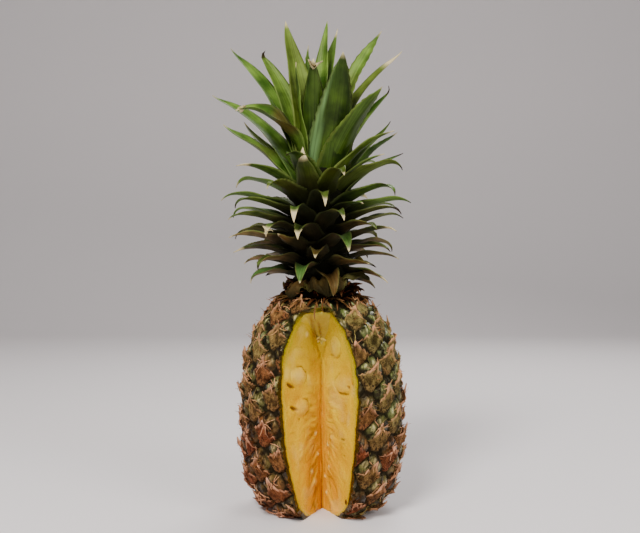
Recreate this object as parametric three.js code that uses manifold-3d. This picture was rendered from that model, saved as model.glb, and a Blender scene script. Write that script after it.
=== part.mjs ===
/**
 * A pineapple that stands on its trimmed base, with one wedge cut out of its front so that the flesh shows.
 *
 * Millimetres, +Z up. The origin is on the fruit's axis, in the plane that it stands on, and the wedge opens
 * towards -Y. An azimuth is measured from -Y towards +X, and an elevation from the horizontal upwards.
 *
 * Four solids make it up:
 *   flesh        the yellow fruit with its core, flat at the base where the stalk was sliced off
 *   rind         the skin round it: a shell of six-sided eyes, each with a pointed bract across its middle
 *   neck_bracts  a ring of small dried bracts between the fruit and its leaves
 *   crown        a short stem that carries a spiral of short arching blades, and over them the heart of long
 *                ones, each laid down by its own measures
 */
import * as THREE from "three";
import { ConvexHull } from "three/addons/math/ConvexHull.js";
import { mergeVertices } from "three/addons/utils/BufferGeometryUtils.js";
import Module from "manifold-3d";

const wasm = await Module();
wasm.setup();

const radians = THREE.MathUtils.degToRad;

// ---- Driving dimensions --------------------------------------------------------------------------------

const GOLDEN_ANGLE = radians(137.508); // the turn from each eye or leaf to the next
const FIT_GAP = 0.3; // left between solids that touch

// The fruit: two half superellipses that meet at the belly, measured to the floor of the grooves.
const FRUIT_HEIGHT = 157;
const BELLY_RADIUS = 58.2;
const BELLY_HEIGHT = 72;
const LOWER = { reach: 74.2, power: 3.2 }; // below the belly
const UPPER = { reach: 90, power: 2.5 }; // above it
const RIND_THICKNESS = 5;

// The eyes: one every golden angle, on a spiral that climbs the fruit.
const EYE_AREA = 455; // at the belly, mm2
const EYE_TAPER = 1.05; // how fast the eyes shrink with the fruit's radius
const EYE_PHASE = radians(20);
const EYE_MARGIN = 0.4; // an eye keeps this many cell radii from both ends of the fruit

// One eye's relief: across and up in cell radii, then the height above the groove in mm.
const EYE_RELIEF = [
  [0, 0.14, 5.2], // the bract's tip
  [-0.36, 0.0, 3.9], // its torn upper edge
  [0.36, 0.0, 3.9],
  [-0.72, -0.2, 2.6],
  [0.72, -0.2, 2.6],
  [0, 0.36, 2.2], // the foot of the step above that edge
  [-0.36, 0.22, 1.9],
  [0.36, 0.22, 1.9],
  [0, -0.36, 3.4], // the bract's belly
  [-0.42, -0.48, 2.4],
  [0.42, -0.48, 2.4],
  [0, 0.64, 2.6], // the dome of sepals
  [-0.42, 0.5, 2.7],
  [0.42, 0.5, 2.7],
];

// The wedge: two cuts that meet in an upright line just in front of the axis, under a sloping ceiling. The
// knife wandered, so each cut's angle from the wedge's middle changes with height.
const WEDGE_SIDES = [
  [0, 23, 26], // height, then the left and the right cut's angle in degrees
  [30, 25, 24],
  [60, 30, 26],
  [90, 33, 28],
  [115, 34, 27],
  [135, 31, 22.5],
  [155, 24, 10],
];
const WEDGE_APEX = 3; // from the axis to the line where the cuts meet
const WEDGE_INNER_TOP = 124; // height of the ceiling at that line
const WEDGE_SLOPE = radians(42); // how steeply it climbs towards the skin
const WEDGE_REACH = 90; // out past the skin

// The neck: a sleeve of dried bracts round the foot of the crown's stem.
const NECK_BRACTS = 30;
const NECK_BOTTOM = FRUIT_HEIGHT + FIT_GAP;
const NECK_TOP = 167;
const NECK_RADIUS = 21;
const STEM_FOOT_RADIUS = 14;

// The crown's stem, as radius and height.
const STEM_PROFILE = [
  [STEM_FOOT_RADIUS, FRUIT_HEIGHT + FIT_GAP],
  [STEM_FOOT_RADIUS, NECK_TOP + FIT_GAP],
  [20, NECK_TOP + 2],
  [21, 190],
  [19, 225],
  [14, 250],
  [8, 272],
  [0, 285],
];
const STEM_SIDES = 14;

// The crown's blades: a spiral of short arching ones below, then the long ones of the heart.
const CROWN_SHIFT = -4; // the middle of the crown, to one side of the fruit's axis
const SPIRAL_BLADES = 64;
const SPIRAL_SEED = 1041;
const SPIRAL_PHASE = radians(102);
const BLADE_STATIONS = [0, 0.2, 0.42, 0.64, 0.84, 1];
const BLADE_THICKNESS = 1.7; // along the midrib at its root
// Each row is a share of the way up the spiral, then the blade's root height, length, width, and its
// elevation in degrees where it starts and where it ends.
const BLADE_RULE = [
  [0.0, 171, 45, 19, 21, -28],
  [0.3, 184, 62, 20, 32, -14],
  [0.6, 201, 69, 20, 36, -2],
  [0.85, 216, 74, 21, 42, -2],
  [1.0, 226, 84, 22, 54, 6],
];
// Each row is a blade's azimuth, root height, length, width, starting and final elevation, and roll.
const HEART_BLADES = [
  [-112, 245, 130, 26, 86, 70, -50],
  [144, 258, 116, 20, 90, 78, 0],
  [143, 259, 114, 18, 86, 67, 0],
  [-147, 251, 104, 12, 82, 86, 0],
  [-63, 236, 102, 18, 79, 86, -30],
  [-10, 230, 110, 30, 80, 88, 0],
  [36, 224, 120, 40, 73, 79, -28],
  [114, 237, 143, 24, 81, 51, 30],
  [85, 230, 134, 22, 83, 34, 35],
  [56, 223, 107, 28, 76, 36, -20],
  [92, 220, 115, 22, 74, 44, 20],
  [-108, 229, 145, 24, 78, 39, -30],
  [-121, 239, 126, 24, 79, 50, -35],
  [-100, 216, 132, 24, 75, 20, -30],
  [-63, 232, 103, 32, 86, -4, -30],
  [-80, 220, 98, 24, 64, 17, -30],
  [-110, 228, 89, 20, 53, 43, -20],
  [64, 209, 100, 26, 80, 13, 10],
  [103, 209, 104, 18, 72, 34, 20],
  [117, 206, 111, 18, 71, 22, 20],
  [65, 206, 84, 22, 80, 9, 20],
  [88, 206, 91, 22, 68, 14, 20],
  [-12, 207, 78, 26, 64, 20, 0],
  [168, 238, 122, 26, 76, 58, 0],
  [-166, 230, 116, 26, 70, 44, 0],
  [146, 226, 110, 26, 66, 38, 0],
  [-142, 216, 104, 26, 62, 30, 0],
];

// ---- Small helpers -------------------------------------------------------------------------------------

/** Repeatable draws from 0 to 1. */
function drawsFrom(seed) {
  let state = seed;
  return () => {
    state = (state * 48271) % 2147483647;
    return state / 2147483647;
  };
}

/** The rule's row at share t, each column interpolated smoothly between the rows given. */
function ruleAt(rule, t) {
  const after = Math.max(1, rule.findIndex((row) => row[0] >= t));
  const [low, high] = [rule[after - 1], rule[after]];
  const share = (t - low[0]) / (high[0] - low[0]);
  return low.map((value, column) => THREE.MathUtils.lerp(value, high[column], share));
}

/** A unit vector from an azimuth and an elevation. */
function heading(azimuth, elevation) {
  const flat = Math.cos(elevation);
  return new THREE.Vector3(flat * Math.sin(azimuth), -flat * Math.cos(azimuth), Math.sin(elevation));
}

/** A solid from points and the triangles between them. */
function solidFrom(points, triangles) {
  const vertProperties = new Float32Array(points.flatMap((p) => [p.x, p.y, p.z]));
  return new wasm.Manifold(
    new wasm.Mesh({ numProp: 3, vertProperties, triVerts: new Uint32Array(triangles.flat()) }),
  );
}

/** A solid from a closed three.js geometry. */
function solidOf(geometry) {
  const bare = geometry.clone();
  bare.deleteAttribute("normal");
  bare.deleteAttribute("uv");
  const merged = mergeVertices(bare, 1e-4);
  return new wasm.Manifold(
    new wasm.Mesh({
      numProp: 3,
      vertProperties: merged.attributes.position.array,
      triVerts: new Uint32Array(merged.index.array),
    }),
  );
}

/** A solid of revolution about Z from [radius, height] pairs, from the lowest to the highest. */
function turned(profile, sides) {
  const outline = profile.map(([radius, height]) => new THREE.Vector2(radius, height));
  return solidOf(new THREE.LatheGeometry(outline, sides).rotateX(Math.PI / 2));
}

/** Solids joined into one body, with any hollow that they seal between them filled. */
function fused(solids) {
  const bodies = wasm.Manifold.union(solids).decompose();
  return bodies.reduce((largest, body) => (body.volume() > largest.volume() ? body : largest));
}

/** A named mesh from a solid. */
function meshOf(name, solid, colour, roughness) {
  const { vertProperties, triVerts } = solid.getMesh();
  const geometry = new THREE.BufferGeometry();
  geometry.setAttribute("position", new THREE.BufferAttribute(vertProperties, 3));
  geometry.setIndex(new THREE.BufferAttribute(triVerts, 1));
  geometry.computeVertexNormals();
  const mesh = new THREE.Mesh(
    geometry,
    new THREE.MeshStandardMaterial({ color: colour, roughness, metalness: 0, flatShading: true }),
  );
  mesh.name = name;
  return mesh;
}

// ---- The fruit's surface -------------------------------------------------------------------------------

/** The fruit's radius at a height, at the floor of the grooves. */
function fruitRadius(height) {
  const { reach, power } = height < BELLY_HEIGHT ? LOWER : UPPER;
  const share = Math.abs(height - BELLY_HEIGHT) / reach;
  return BELLY_RADIUS * (1 - share ** power) ** (1 / power);
}

const BASE_RADIUS = fruitRadius(0);
const TOP_RADIUS = fruitRadius(FRUIT_HEIGHT);

/** Heights up the skin, each with its radius and its distance along the skin from the base. */
function skinTable() {
  const step = 0.5;
  const rows = [{ height: 0, radius: BASE_RADIUS, along: 0 }];
  for (let height = step; height <= FRUIT_HEIGHT; height += step) {
    const radius = fruitRadius(height);
    const last = rows.at(-1);
    rows.push({ height, radius, along: last.along + Math.hypot(step, radius - last.radius) });
  }
  return rows;
}
const SKIN = skinTable();
const SKIN_LENGTH = SKIN.at(-1).along;

/** The height of the point that is a given distance along the skin from the base. */
function heightAlong(along) {
  const after = THREE.MathUtils.clamp(SKIN.findIndex((row) => row.along >= along), 1, SKIN.length - 1);
  const [low, high] = [SKIN[after - 1], SKIN[after]];
  return THREE.MathUtils.mapLinear(along, low.along, high.along, low.height, high.height);
}

/** A point on the skin, lifted off it along its normal. */
function skinPoint(azimuth, height, lift = 0) {
  const radius = fruitRadius(height);
  const slope = fruitRadius(height + 0.1) - radius;
  const tilt = Math.atan2(-slope, 0.1);
  const out = radius + lift * Math.cos(tilt);
  return heading(azimuth, 0).multiplyScalar(out).setZ(height + lift * Math.sin(tilt));
}

/** Where each eye sits, and the radius of its cell. */
function eyeCentres() {
  const eyes = [];
  let count = 0;
  for (let i = 1; i < SKIN.length; i++) {
    const { height, radius, along } = SKIN[i];
    const area = EYE_AREA * (radius / BELLY_RADIUS) ** EYE_TAPER;
    const before = Math.floor(count);
    count += (2 * Math.PI * radius * (along - SKIN[i - 1].along)) / area;
    if (Math.floor(count) === before) continue;
    const size = Math.sqrt(area / Math.PI);
    const margin = EYE_MARGIN * size;
    if (along < margin || along > SKIN_LENGTH - margin) continue;
    eyes.push({ azimuth: EYE_PHASE + Math.floor(count) * GOLDEN_ANGLE, height, along, size });
  }
  return eyes;
}

/** The triangles that cover a set of points, each point seen from the middle of the fruit. */
function coverTriangles(points) {
  const middle = FRUIT_HEIGHT / 2;
  const seen = points.map(
    (p) => new THREE.Vector3(p.x / BELLY_RADIUS, p.y / BELLY_RADIUS, (p.z - middle) / middle).normalize(),
  );
  const index = new Map(seen.map((direction, i) => [direction, i]));
  return new ConvexHull().setFromPoints(seen).faces.map((face) => {
    const { edge } = face;
    return [edge.head(), edge.next.head(), edge.next.next.head()].map((corner) => index.get(corner.point));
  });
}

/** A ring of points in a level plane, with one at its centre. */
function capPoints(radius, height, count) {
  const ring = Array.from({ length: count }, (_, i) =>
    heading((2 * Math.PI * i) / count, 0).multiplyScalar(radius).setZ(height),
  );
  return [...ring, new THREE.Vector3(0, 0, height)];
}

/** The points on the grooves: the corners where three eyes meet, and the middle of each side between two. */
function groovePoints(eyes, caps) {
  const centres = [...eyes.map((eye) => skinPoint(eye.azimuth, eye.height)), ...caps];
  const onGroove = (...corners) => {
    const sum = corners.reduce((total, corner) => total.add(centres[corner]), new THREE.Vector3());
    const { x, y, z } = sum.divideScalar(corners.length);
    return skinPoint(Math.atan2(x, -y), z);
  };
  const points = [];
  for (const [a, b, c] of coverTriangles(centres)) {
    if (Math.max(a, b, c) >= eyes.length) continue;
    points.push(onGroove(a, b, c));
    for (const [from, to] of [[a, b], [b, c], [c, a]]) {
      if (from < to) points.push(onGroove(from, to));
    }
  }
  return points;
}

/** The raised points of one eye that lie clear of the fruit's two ends. */
function eyePoints({ azimuth, along, size }) {
  const clearOfEnds = ([, up]) => {
    const at = along + up * size;
    return at > 1.5 && at < SKIN_LENGTH - 1.5;
  };
  return EYE_RELIEF.filter(clearOfEnds).map(([across, up, lift]) => {
    const height = heightAlong(along + up * size);
    return skinPoint(azimuth + (across * size) / fruitRadius(height), height, lift);
  });
}

// ---- The four solids -----------------------------------------------------------------------------------

/** The space that the cut wedge leaves, as one solid: level three-cornered sections up to the ceiling. */
function wedgeSpace() {
  const depth = WEDGE_REACH - WEDGE_APEX;
  const [, lowestLeft, lowestRight] = WEDGE_SIDES[0];
  const [, highestLeft, highestRight] = WEDGE_SIDES.at(-1);
  const below = [-5, lowestLeft, lowestRight];
  const above = [FRUIT_HEIGHT + 8, highestLeft, highestRight];
  const sections = [below, ...WEDGE_SIDES, above];
  const points = sections.flatMap(([height, left, right]) => [
    new THREE.Vector3(0, -WEDGE_APEX, height),
    new THREE.Vector3(-depth * Math.tan(radians(left)), -WEDGE_REACH, height),
    new THREE.Vector3(depth * Math.tan(radians(right)), -WEDGE_REACH, height),
  ]);
  const top = points.length - 3;
  const triangles = [[0, 2, 1], [top, top + 1, top + 2]];
  for (let low = 0; low < top; low += 3) {
    for (const [from, to] of [[0, 1], [1, 2], [2, 0]]) {
      const [a, b] = [low + from, low + to];
      triangles.push([a, b, b + 3], [a, b + 3, a + 3]);
    }
  }
  const ceiling = new THREE.Vector3(0, -Math.sin(WEDGE_SLOPE), -Math.cos(WEDGE_SLOPE));
  const onCeiling = new THREE.Vector3(0, -WEDGE_APEX, WEDGE_INNER_TOP);
  return solidFrom(points, triangles).trimByPlane(ceiling.toArray(), ceiling.dot(onCeiling));
}

/** The body inside the rind, drawn in from it by an extra clearance, with ends at the two given heights. */
function innerBody(clearance, bottom, top) {
  const rows = 15;
  const side = Array.from({ length: rows + 1 }, (_, row) => {
    const height = (FRUIT_HEIGHT / 2) * (1 - Math.cos((Math.PI * row) / rows));
    return [fruitRadius(height) - RIND_THICKNESS - clearance, height];
  });
  const [first, last] = [side[0][0], side.at(-1)[0]];
  const lower = bottom < 0 ? [[0, bottom], [first, bottom]] : [[0, bottom]];
  const upper = top > FRUIT_HEIGHT ? [[last, top], [0, top]] : [[0, top]];
  return turned([...lower, ...side, ...upper], 36);
}

function makeFlesh() {
  return innerBody(FIT_GAP, 0, FRUIT_HEIGHT).subtract(wedgeSpace());
}

function makeRind() {
  const eyes = eyeCentres();
  const caps = [...capPoints(BASE_RADIUS, 0, 20), ...capPoints(TOP_RADIUS, FRUIT_HEIGHT, 20)];
  const points = [...caps, ...eyes.flatMap(eyePoints), ...groovePoints(eyes, caps)];
  const skin = solidFrom(points, coverTriangles(points));
  const end = 6;
  const band = new THREE.BoxGeometry(200, 200, FRUIT_HEIGHT).translate(0, 0, FRUIT_HEIGHT / 2);
  return skin
    .intersect(solidOf(band))
    .subtract(innerBody(0, -end, FRUIT_HEIGHT + end))
    .subtract(wedgeSpace());
}

/**
 * One blade: a trough-shaped strip that leaves its root at one elevation and bends to another, tapering to a
 * point. Each section has its two edges, the middle of its upper side and the middle of its lower side.
 */
function bladeSolid(blade) {
  const { azimuth, root, length, width, rise, fall, bend, roll, trough, thickness, stations } = blade;
  const points = [];
  const at = root.clone();
  let covered = 0;
  for (const share of stations) {
    const middle = (covered + share) / 2;
    const turn = (where) => THREE.MathUtils.lerp(rise, fall, where ** 1.3);
    at.addScaledVector(heading(azimuth + bend * middle, turn(middle)), (share - covered) * length);
    covered = share;
    const along = heading(azimuth + bend * share, turn(share));
    const up = heading(azimuth + bend * share, turn(share) + Math.PI / 2).applyAxisAngle(along, roll);
    const across = new THREE.Vector3().crossVectors(along, up);
    const half = (width / 2) * (0.75 + 0.25 * Math.min(1, share / 0.2)) * (1 - share ** 2.1) ** 0.85;
    const lift = half * trough;
    const depth = (thickness / 2) * (1 - 0.5 * share);
    if (share === 1) {
      points.push(at.clone());
      break;
    }
    points.push(
      at.clone().addScaledVector(across, -half).addScaledVector(up, lift),
      at.clone().addScaledVector(up, depth),
      at.clone().addScaledVector(across, half).addScaledVector(up, lift),
      at.clone().addScaledVector(up, -depth),
    );
  }
  const triangles = [[0, 2, 1], [0, 3, 2]];
  for (let section = 0; section < stations.length - 2; section++) {
    const [l, t, r, b] = [0, 1, 2, 3].map((corner) => section * 4 + corner);
    const [ll, tt, rr, bb] = [l + 4, t + 4, r + 4, b + 4];
    triangles.push([l, t, tt], [l, tt, ll], [t, r, tt], [tt, r, rr]);
    triangles.push([r, b, bb], [r, bb, rr], [b, l, ll], [b, ll, bb]);
  }
  const tip = points.length - 1;
  const [l, t, r, b] = [tip - 4, tip - 3, tip - 2, tip - 1];
  triangles.push([l, t, tip], [t, r, tip], [r, b, tip], [b, l, tip]);
  return solidFrom(points, triangles);
}

function makeNeckBracts() {
  const draw = drawsFrom(77);
  const bore = STEM_FOOT_RADIUS + FIT_GAP;
  const [low, high] = [NECK_BOTTOM - 5, NECK_TOP + 5];
  const hole = turned([[0, low], [bore, low], [bore, high], [0, high]], STEM_SIDES);
  const sleeve = turned(
    [[0, NECK_BOTTOM], [NECK_RADIUS, NECK_BOTTOM], [NECK_RADIUS - 2, NECK_TOP - 1], [0, NECK_TOP - 1]],
    22,
  );
  const bracts = Array.from({ length: NECK_BRACTS }, (_, i) => {
    const azimuth = i * GOLDEN_ANGLE;
    const height = THREE.MathUtils.lerp(NECK_BOTTOM + 2.6, NECK_TOP - 2.8, i / NECK_BRACTS);
    return bladeSolid({
      azimuth,
      root: heading(azimuth, 0).multiplyScalar(NECK_RADIUS - 5).setZ(height),
      length: 10 + 6 * draw(),
      width: 7 + 4 * draw(),
      rise: radians(2 + 20 * draw()),
      fall: radians(-50 + 60 * draw()),
      bend: radians(-40 + 80 * draw()),
      roll: radians(-25 + 50 * draw()),
      trough: 0.3,
      thickness: 1.5,
      stations: [0, 0.45, 0.75, 1],
    });
  });
  return fused([fused([sleeve, ...bracts]).subtract(hole)]);
}

/** A blade of the crown, from its root's height, its length and width, and its angles in degrees. */
function crownBlade({ azimuth, inset, height, length, width, rise, fall, bend, roll }) {
  const root = heading(azimuth, 0).multiplyScalar(inset);
  return bladeSolid({
    azimuth,
    root: root.add(new THREE.Vector3(CROWN_SHIFT, 0, height)),
    length,
    width,
    rise: radians(rise),
    fall: radians(fall),
    bend: radians(bend),
    roll: radians(roll),
    trough: 0.42,
    thickness: BLADE_THICKNESS,
    stations: BLADE_STATIONS,
  });
}

/** The spiral's blades, from the lowest up. */
function spiralBlades() {
  const draw = drawsFrom(SPIRAL_SEED);
  const around = (middle, spread) => middle + spread * (2 * draw() - 1);
  return Array.from({ length: SPIRAL_BLADES }, (_, i) => {
    const [share, height, length, width, rise, fall] = ruleAt(BLADE_RULE, i / (SPIRAL_BLADES - 1));
    return crownBlade({
      azimuth: SPIRAL_PHASE + i * GOLDEN_ANGLE,
      inset: 3 + 5 * (1 - share),
      height,
      length: length * around(1, 0.1),
      width: width * around(1, 0.1),
      rise: around(rise, 5),
      fall: around(fall, 10 - 4 * share),
      bend: around(0, 14),
      roll: around(0, 10),
    });
  });
}

function heartBlades() {
  return HEART_BLADES.map(([azimuth, height, length, width, rise, fall, roll]) =>
    crownBlade({ azimuth: radians(azimuth), inset: 4, height, length, width, rise, fall, bend: 0, roll }),
  );
}

function makeCrown() {
  const stem = turned([[0, STEM_PROFILE[0][1]], ...STEM_PROFILE], STEM_SIDES);
  return fused([stem, ...spiralBlades(), ...heartBlades()]);
}

// ---- The pineapple -------------------------------------------------------------------------------------

const pineapple = new THREE.Group();
pineapple.add(
  meshOf("flesh", makeFlesh(), 0xe0ae3a, 0.4),
  meshOf("rind", makeRind(), 0x7b6440, 0.7),
  meshOf("neck_bracts", makeNeckBracts(), 0x5c3324, 0.8),
  meshOf("crown", makeCrown(), 0x4d6a34, 0.5),
);

export default pineapple;
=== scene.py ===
"""The looks of a pineapple with one wedge cut from its front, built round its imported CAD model.

Shapes are worked out in millimetres in the CAD's own frame, from the same rules that its solids follow, and
turned to metres when a mesh is made. The fruit stands on z = 0, its wedge opens towards -Y, and an azimuth
is measured from -Y towards +X.
"""

import math

import bmesh
import bpy
import numpy as np
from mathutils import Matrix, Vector


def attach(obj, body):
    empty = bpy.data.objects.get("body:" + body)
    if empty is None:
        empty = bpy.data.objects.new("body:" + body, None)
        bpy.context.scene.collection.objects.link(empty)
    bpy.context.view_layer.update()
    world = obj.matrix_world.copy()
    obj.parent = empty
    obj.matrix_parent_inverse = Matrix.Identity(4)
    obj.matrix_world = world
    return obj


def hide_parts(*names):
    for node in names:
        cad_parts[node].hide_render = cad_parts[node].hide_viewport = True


bl_info = {
    "name": "Cut Pineapple",
    "version": (1, 0, 0),
    "blender": (4, 5, 0),
    "location": "View3D > Sidebar > Pineapple",
    "description": "Builds a pineapple with a wedge cut from its front, its crown and a studio stage",
    "category": "Add Mesh",
}

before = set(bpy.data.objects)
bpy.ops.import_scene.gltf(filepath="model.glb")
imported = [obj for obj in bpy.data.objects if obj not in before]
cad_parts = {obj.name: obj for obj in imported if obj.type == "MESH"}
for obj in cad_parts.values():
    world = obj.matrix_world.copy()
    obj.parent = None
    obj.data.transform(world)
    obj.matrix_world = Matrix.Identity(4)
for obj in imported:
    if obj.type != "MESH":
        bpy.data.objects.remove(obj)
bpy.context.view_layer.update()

# ---- Sizes shared with the CAD, in millimetres and radians ---------------------------------------

GOLDEN_ANGLE = math.radians(137.508)
FRUIT_HEIGHT = 157.0
BELLY_RADIUS = 58.2
BELLY_HEIGHT = 72.0
LOWER_REACH, LOWER_POWER = 74.2, 3.2
UPPER_REACH, UPPER_POWER = 90.0, 2.5
RIND_THICKNESS = 5.0
FIT_GAP = 0.3
EYE_AREA = 455.0
EYE_TAPER = 1.05
EYE_PHASE = math.radians(20)
EYE_MARGIN = 0.4
# Height, then the angle of the left and of the right cut from the wedge's middle, in degrees.
WEDGE_SIDES = [
    (0, 23, 26),
    (30, 25, 24),
    (60, 30, 26),
    (90, 33, 28),
    (115, 34, 27),
    (135, 31, 22.5),
    (155, 24, 10),
]
WEDGE_APEX = 3.0
WEDGE_INNER_TOP = 124.0
WEDGE_SLOPE = math.radians(42)
NECK_BOTTOM = FRUIT_HEIGHT + FIT_GAP
NECK_TOP = 167.0
STEM_FOOT_RADIUS = 14.0
STEM_PROFILE = [
    (STEM_FOOT_RADIUS, FRUIT_HEIGHT + FIT_GAP),
    (STEM_FOOT_RADIUS, NECK_TOP + FIT_GAP),
    (20, NECK_TOP + 2),
    (21, 190),
    (19, 225),
    (14, 250),
    (8, 272),
    (0.5, 285),
]
CROWN_SHIFT = -4.0
SPIRAL_BLADES = 64
SPIRAL_SEED = 1041
SPIRAL_PHASE = math.radians(102)
# Share of the way up the spiral, then root height, length, width, starting and final elevation.
BLADE_RULE = [
    (0.0, 171, 45, 19, 21, -28),
    (0.3, 184, 62, 20, 32, -14),
    (0.6, 201, 69, 20, 36, -2),
    (0.85, 216, 74, 21, 42, -2),
    (1.0, 226, 84, 22, 54, 6),
]
# Azimuth, root height, length, width, starting and final elevation, and roll.
HEART_BLADES = [
    (-112, 245, 130, 26, 86, 70, -50),
    (144, 258, 116, 20, 90, 78, 0),
    (143, 259, 114, 18, 86, 67, 0),
    (-147, 251, 104, 12, 82, 86, 0),
    (-63, 236, 102, 18, 79, 86, -30),
    (-10, 230, 110, 30, 80, 88, 0),
    (36, 224, 120, 40, 73, 79, -28),
    (114, 237, 143, 24, 81, 51, 30),
    (85, 230, 134, 22, 83, 34, 35),
    (56, 223, 107, 28, 76, 36, -20),
    (92, 220, 115, 22, 74, 44, 20),
    (-108, 229, 145, 24, 78, 39, -30),
    (-121, 239, 126, 24, 79, 50, -35),
    (-100, 216, 132, 24, 75, 20, -30),
    (-63, 232, 103, 32, 86, -4, -30),
    (-80, 220, 98, 24, 64, 17, -30),
    (-110, 228, 89, 20, 53, 43, -20),
    (64, 209, 100, 26, 80, 13, 10),
    (103, 209, 104, 18, 72, 34, 20),
    (117, 206, 111, 18, 71, 22, 20),
    (65, 206, 84, 22, 80, 9, 20),
    (88, 206, 91, 22, 68, 14, 20),
    (-12, 207, 78, 26, 64, 20, 0),
    (168, 238, 122, 26, 76, 58, 0),
    (-166, 230, 116, 26, 70, 44, 0),
    (146, 226, 110, 26, 66, 38, 0),
    (-142, 216, 104, 26, 62, 30, 0),
]

# How the blades that face the front aged: each one's number, with the heart's after the spiral's, then its
# final curl in degrees, where on it the curl starts, the share of its tip that is dry, and how brown it is.
FRONT_BLADES = {
    2: (-95, 0.4, 0.0, 1.0),
    7: (-70, 0.5, 0.03, 0.0),
    10: (15, 0.6, 0.02, 0.9),
    15: (-30, 0.6, 0.05, 0.8),
    20: (45, 0.5, 0.02, 1.0),
    23: (-80, 0.6, 0.04, 0.0),
    28: (-100, 0.65, 0.1, 0.2),
    33: (-90, 0.7, 0.12, 0.2),
    36: (-70, 0.7, 0.06, 0.1),
    41: (-110, 0.7, 0.12, 0.1),
    44: (-15, 0.8, 0.03, 0.0),
    49: (-95, 0.65, 0.09, 0.0),
    57: (-60, 0.7, 0.03, 0.0),
    65: (10, 0.9, 0.0, 0.0),
    68: (10, 0.9, 0.03, 0.0),
    69: (60, 0.93, 0.05, 0.0),
    70: (25, 0.95, 0.02, 0.0),
    72: (15, 0.9, 0.12, 0.0),
    73: (20, 0.9, 0.01, 0.0),
    74: (75, 0.92, 0.07, 0.0),
    75: (20, 0.9, 0.01, 0.0),
    76: (120, 0.93, 0.06, 0.0),
    77: (20, 0.9, 0.02, 0.0),
    78: (-25, 0.8, 0.03, 0.9),
    86: (110, 0.75, 0.12, 0.0),
}
# The strand that came loose at the fruit's foot, from the skin to where it ends on the floor.
LOOSE_STRAND = [
    (-35.0, -8.0, 6.0),
    (-40.5, -10.0, 3.0),
    (-41.5, -13.5, 1.2),
    (-39.0, -17.5, 0.9),
    (-36.0, -21.0, 1.0),
    (-33.0, -24.5, 1.6),
    (-30.5, -26.5, 1.0),
    (-28.5, -29.0, 1.0),
    (-29.0, -31.5, 1.4),
    (-31.5, -31.0, 2.2),
]
# The ways, in degrees from level, in which the fibres of a bract's point spread over the skin.
STAR_BEARINGS = (-150, -110, -60, -25, 20, 75, 130, 165)
# Broad brown leaves that fold down over the neck: azimuth, root radius and height, length, width, starting
# and final elevation, and how brown.
COLLAR_LEAVES = [
    (10, 8, 174, 38, 32, 14, -60, 0.9),
    (-44, 12, 171, 27, 20, 8, -74, 1.0),
    (58, 12, 172, 34, 16, 22, -8, 0.7),
    (130, 12, 171, 30, 20, 10, -60, 0.9),
    (-140, 12, 172, 32, 22, 12, -55, 0.8),
]
# Blades whose tips have split into pale, dry curls, with the curls' length, and those with burnt tips.
FRAYED_BLADES = {69: 11, 78: 5, 33: 5}
BURNT_BLADES = (74, 76)
# The broad blade at the front, whose left flange is turned back and has a bluish bloom.
FLANGED_BLADE = 70

# Sizes that the CAD hasn't got, in the same units.
SHARP_EDGE = math.radians(62)  # at a steeper fold the shading breaks
WELD = 0.004  # points closer than this are made one
NO_LENGTH = 0.0001  # an edge shorter than this is taken out
FLESH_BITE = 0.12  # how far the flesh reaches into the rind's wall, so that no gap shows
CUT_CLOSED = 0.002  # below this angle the cut counts as closed
LEAF_ROWS = 40  # steps along a leaf
EYE_BATCH = 20000  # points looked up among the eyes at once, to keep memory small

# ---- Small helpers -------------------------------------------------------------------------------


def linear(hex_colour):
    """Turns an sRGB hex colour such as "c8a040" into linear red, green, blue and alpha."""
    shares = [int(hex_colour[i : i + 2], 16) / 255 for i in (0, 2, 4)]
    return tuple(c / 12.92 if c <= 0.04045 else ((c + 0.055) / 1.055) ** 2.4 for c in shares) + (1.0,)


def draws_from(seed):
    """Repeatable draws from 0 to 1, the same as the CAD's."""
    factor, modulus = 48271, 2147483647
    state = seed
    while True:
        state = state * factor % modulus
        yield state / modulus


def smooth(low, high, value):
    """0 below low, 1 above high, and a smooth rise between them."""
    share = np.clip((value - low) / (high - low), 0, 1)
    return share * share * (3 - 2 * share)


NOISE_TABLE = np.random.default_rng(5).random(4096)
NOISE_FACTORS = (73856093, 19349663, 83492791)


def noise(points, lump, seed=0):
    """Smooth noise from -1 to 1 at points in mm, with lumps about that many mm across."""
    cell = np.asarray(points, float) / lump + seed * 17.31
    low = np.floor(cell).astype(np.int64)
    share = cell - low
    share = share * share * (3 - 2 * share)
    total = np.zeros(len(cell))
    for corner in range(8):
        step = np.array([corner & 1, corner >> 1 & 1, corner >> 2 & 1])
        x, y, z = ((low + step) * NOISE_FACTORS).T
        value = NOISE_TABLE[(x ^ y ^ z) % len(NOISE_TABLE)]
        total += value * np.prod(np.where(step == 1, share, 1 - share), axis=1)
    return total * 2 - 1


def heading(azimuth, elevation):
    """Unit vectors from azimuths and elevations."""
    azimuth, elevation = np.broadcast_arrays(azimuth, elevation)
    flat = np.cos(elevation)
    return np.stack([flat * np.sin(azimuth), -flat * np.cos(azimuth), np.sin(elevation)], -1)


def turned_about(vectors, axes, angle):
    """Vectors turned about unit axes by an angle."""
    along = np.sum(vectors * axes, -1, keepdims=True)
    angle = np.asarray(angle)[..., None]
    return (
        vectors * np.cos(angle)
        + np.cross(axes, vectors) * np.sin(angle)
        + axes * along * (1 - np.cos(angle))
    )


def turned(across, up, angle):
    """Places on a surface, across and up, as seen from axes that are turned by an angle."""
    return across * np.cos(angle) + up * np.sin(angle), up * np.cos(angle) - across * np.sin(angle)


# ---- Meshes --------------------------------------------------------------------------------------


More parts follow.
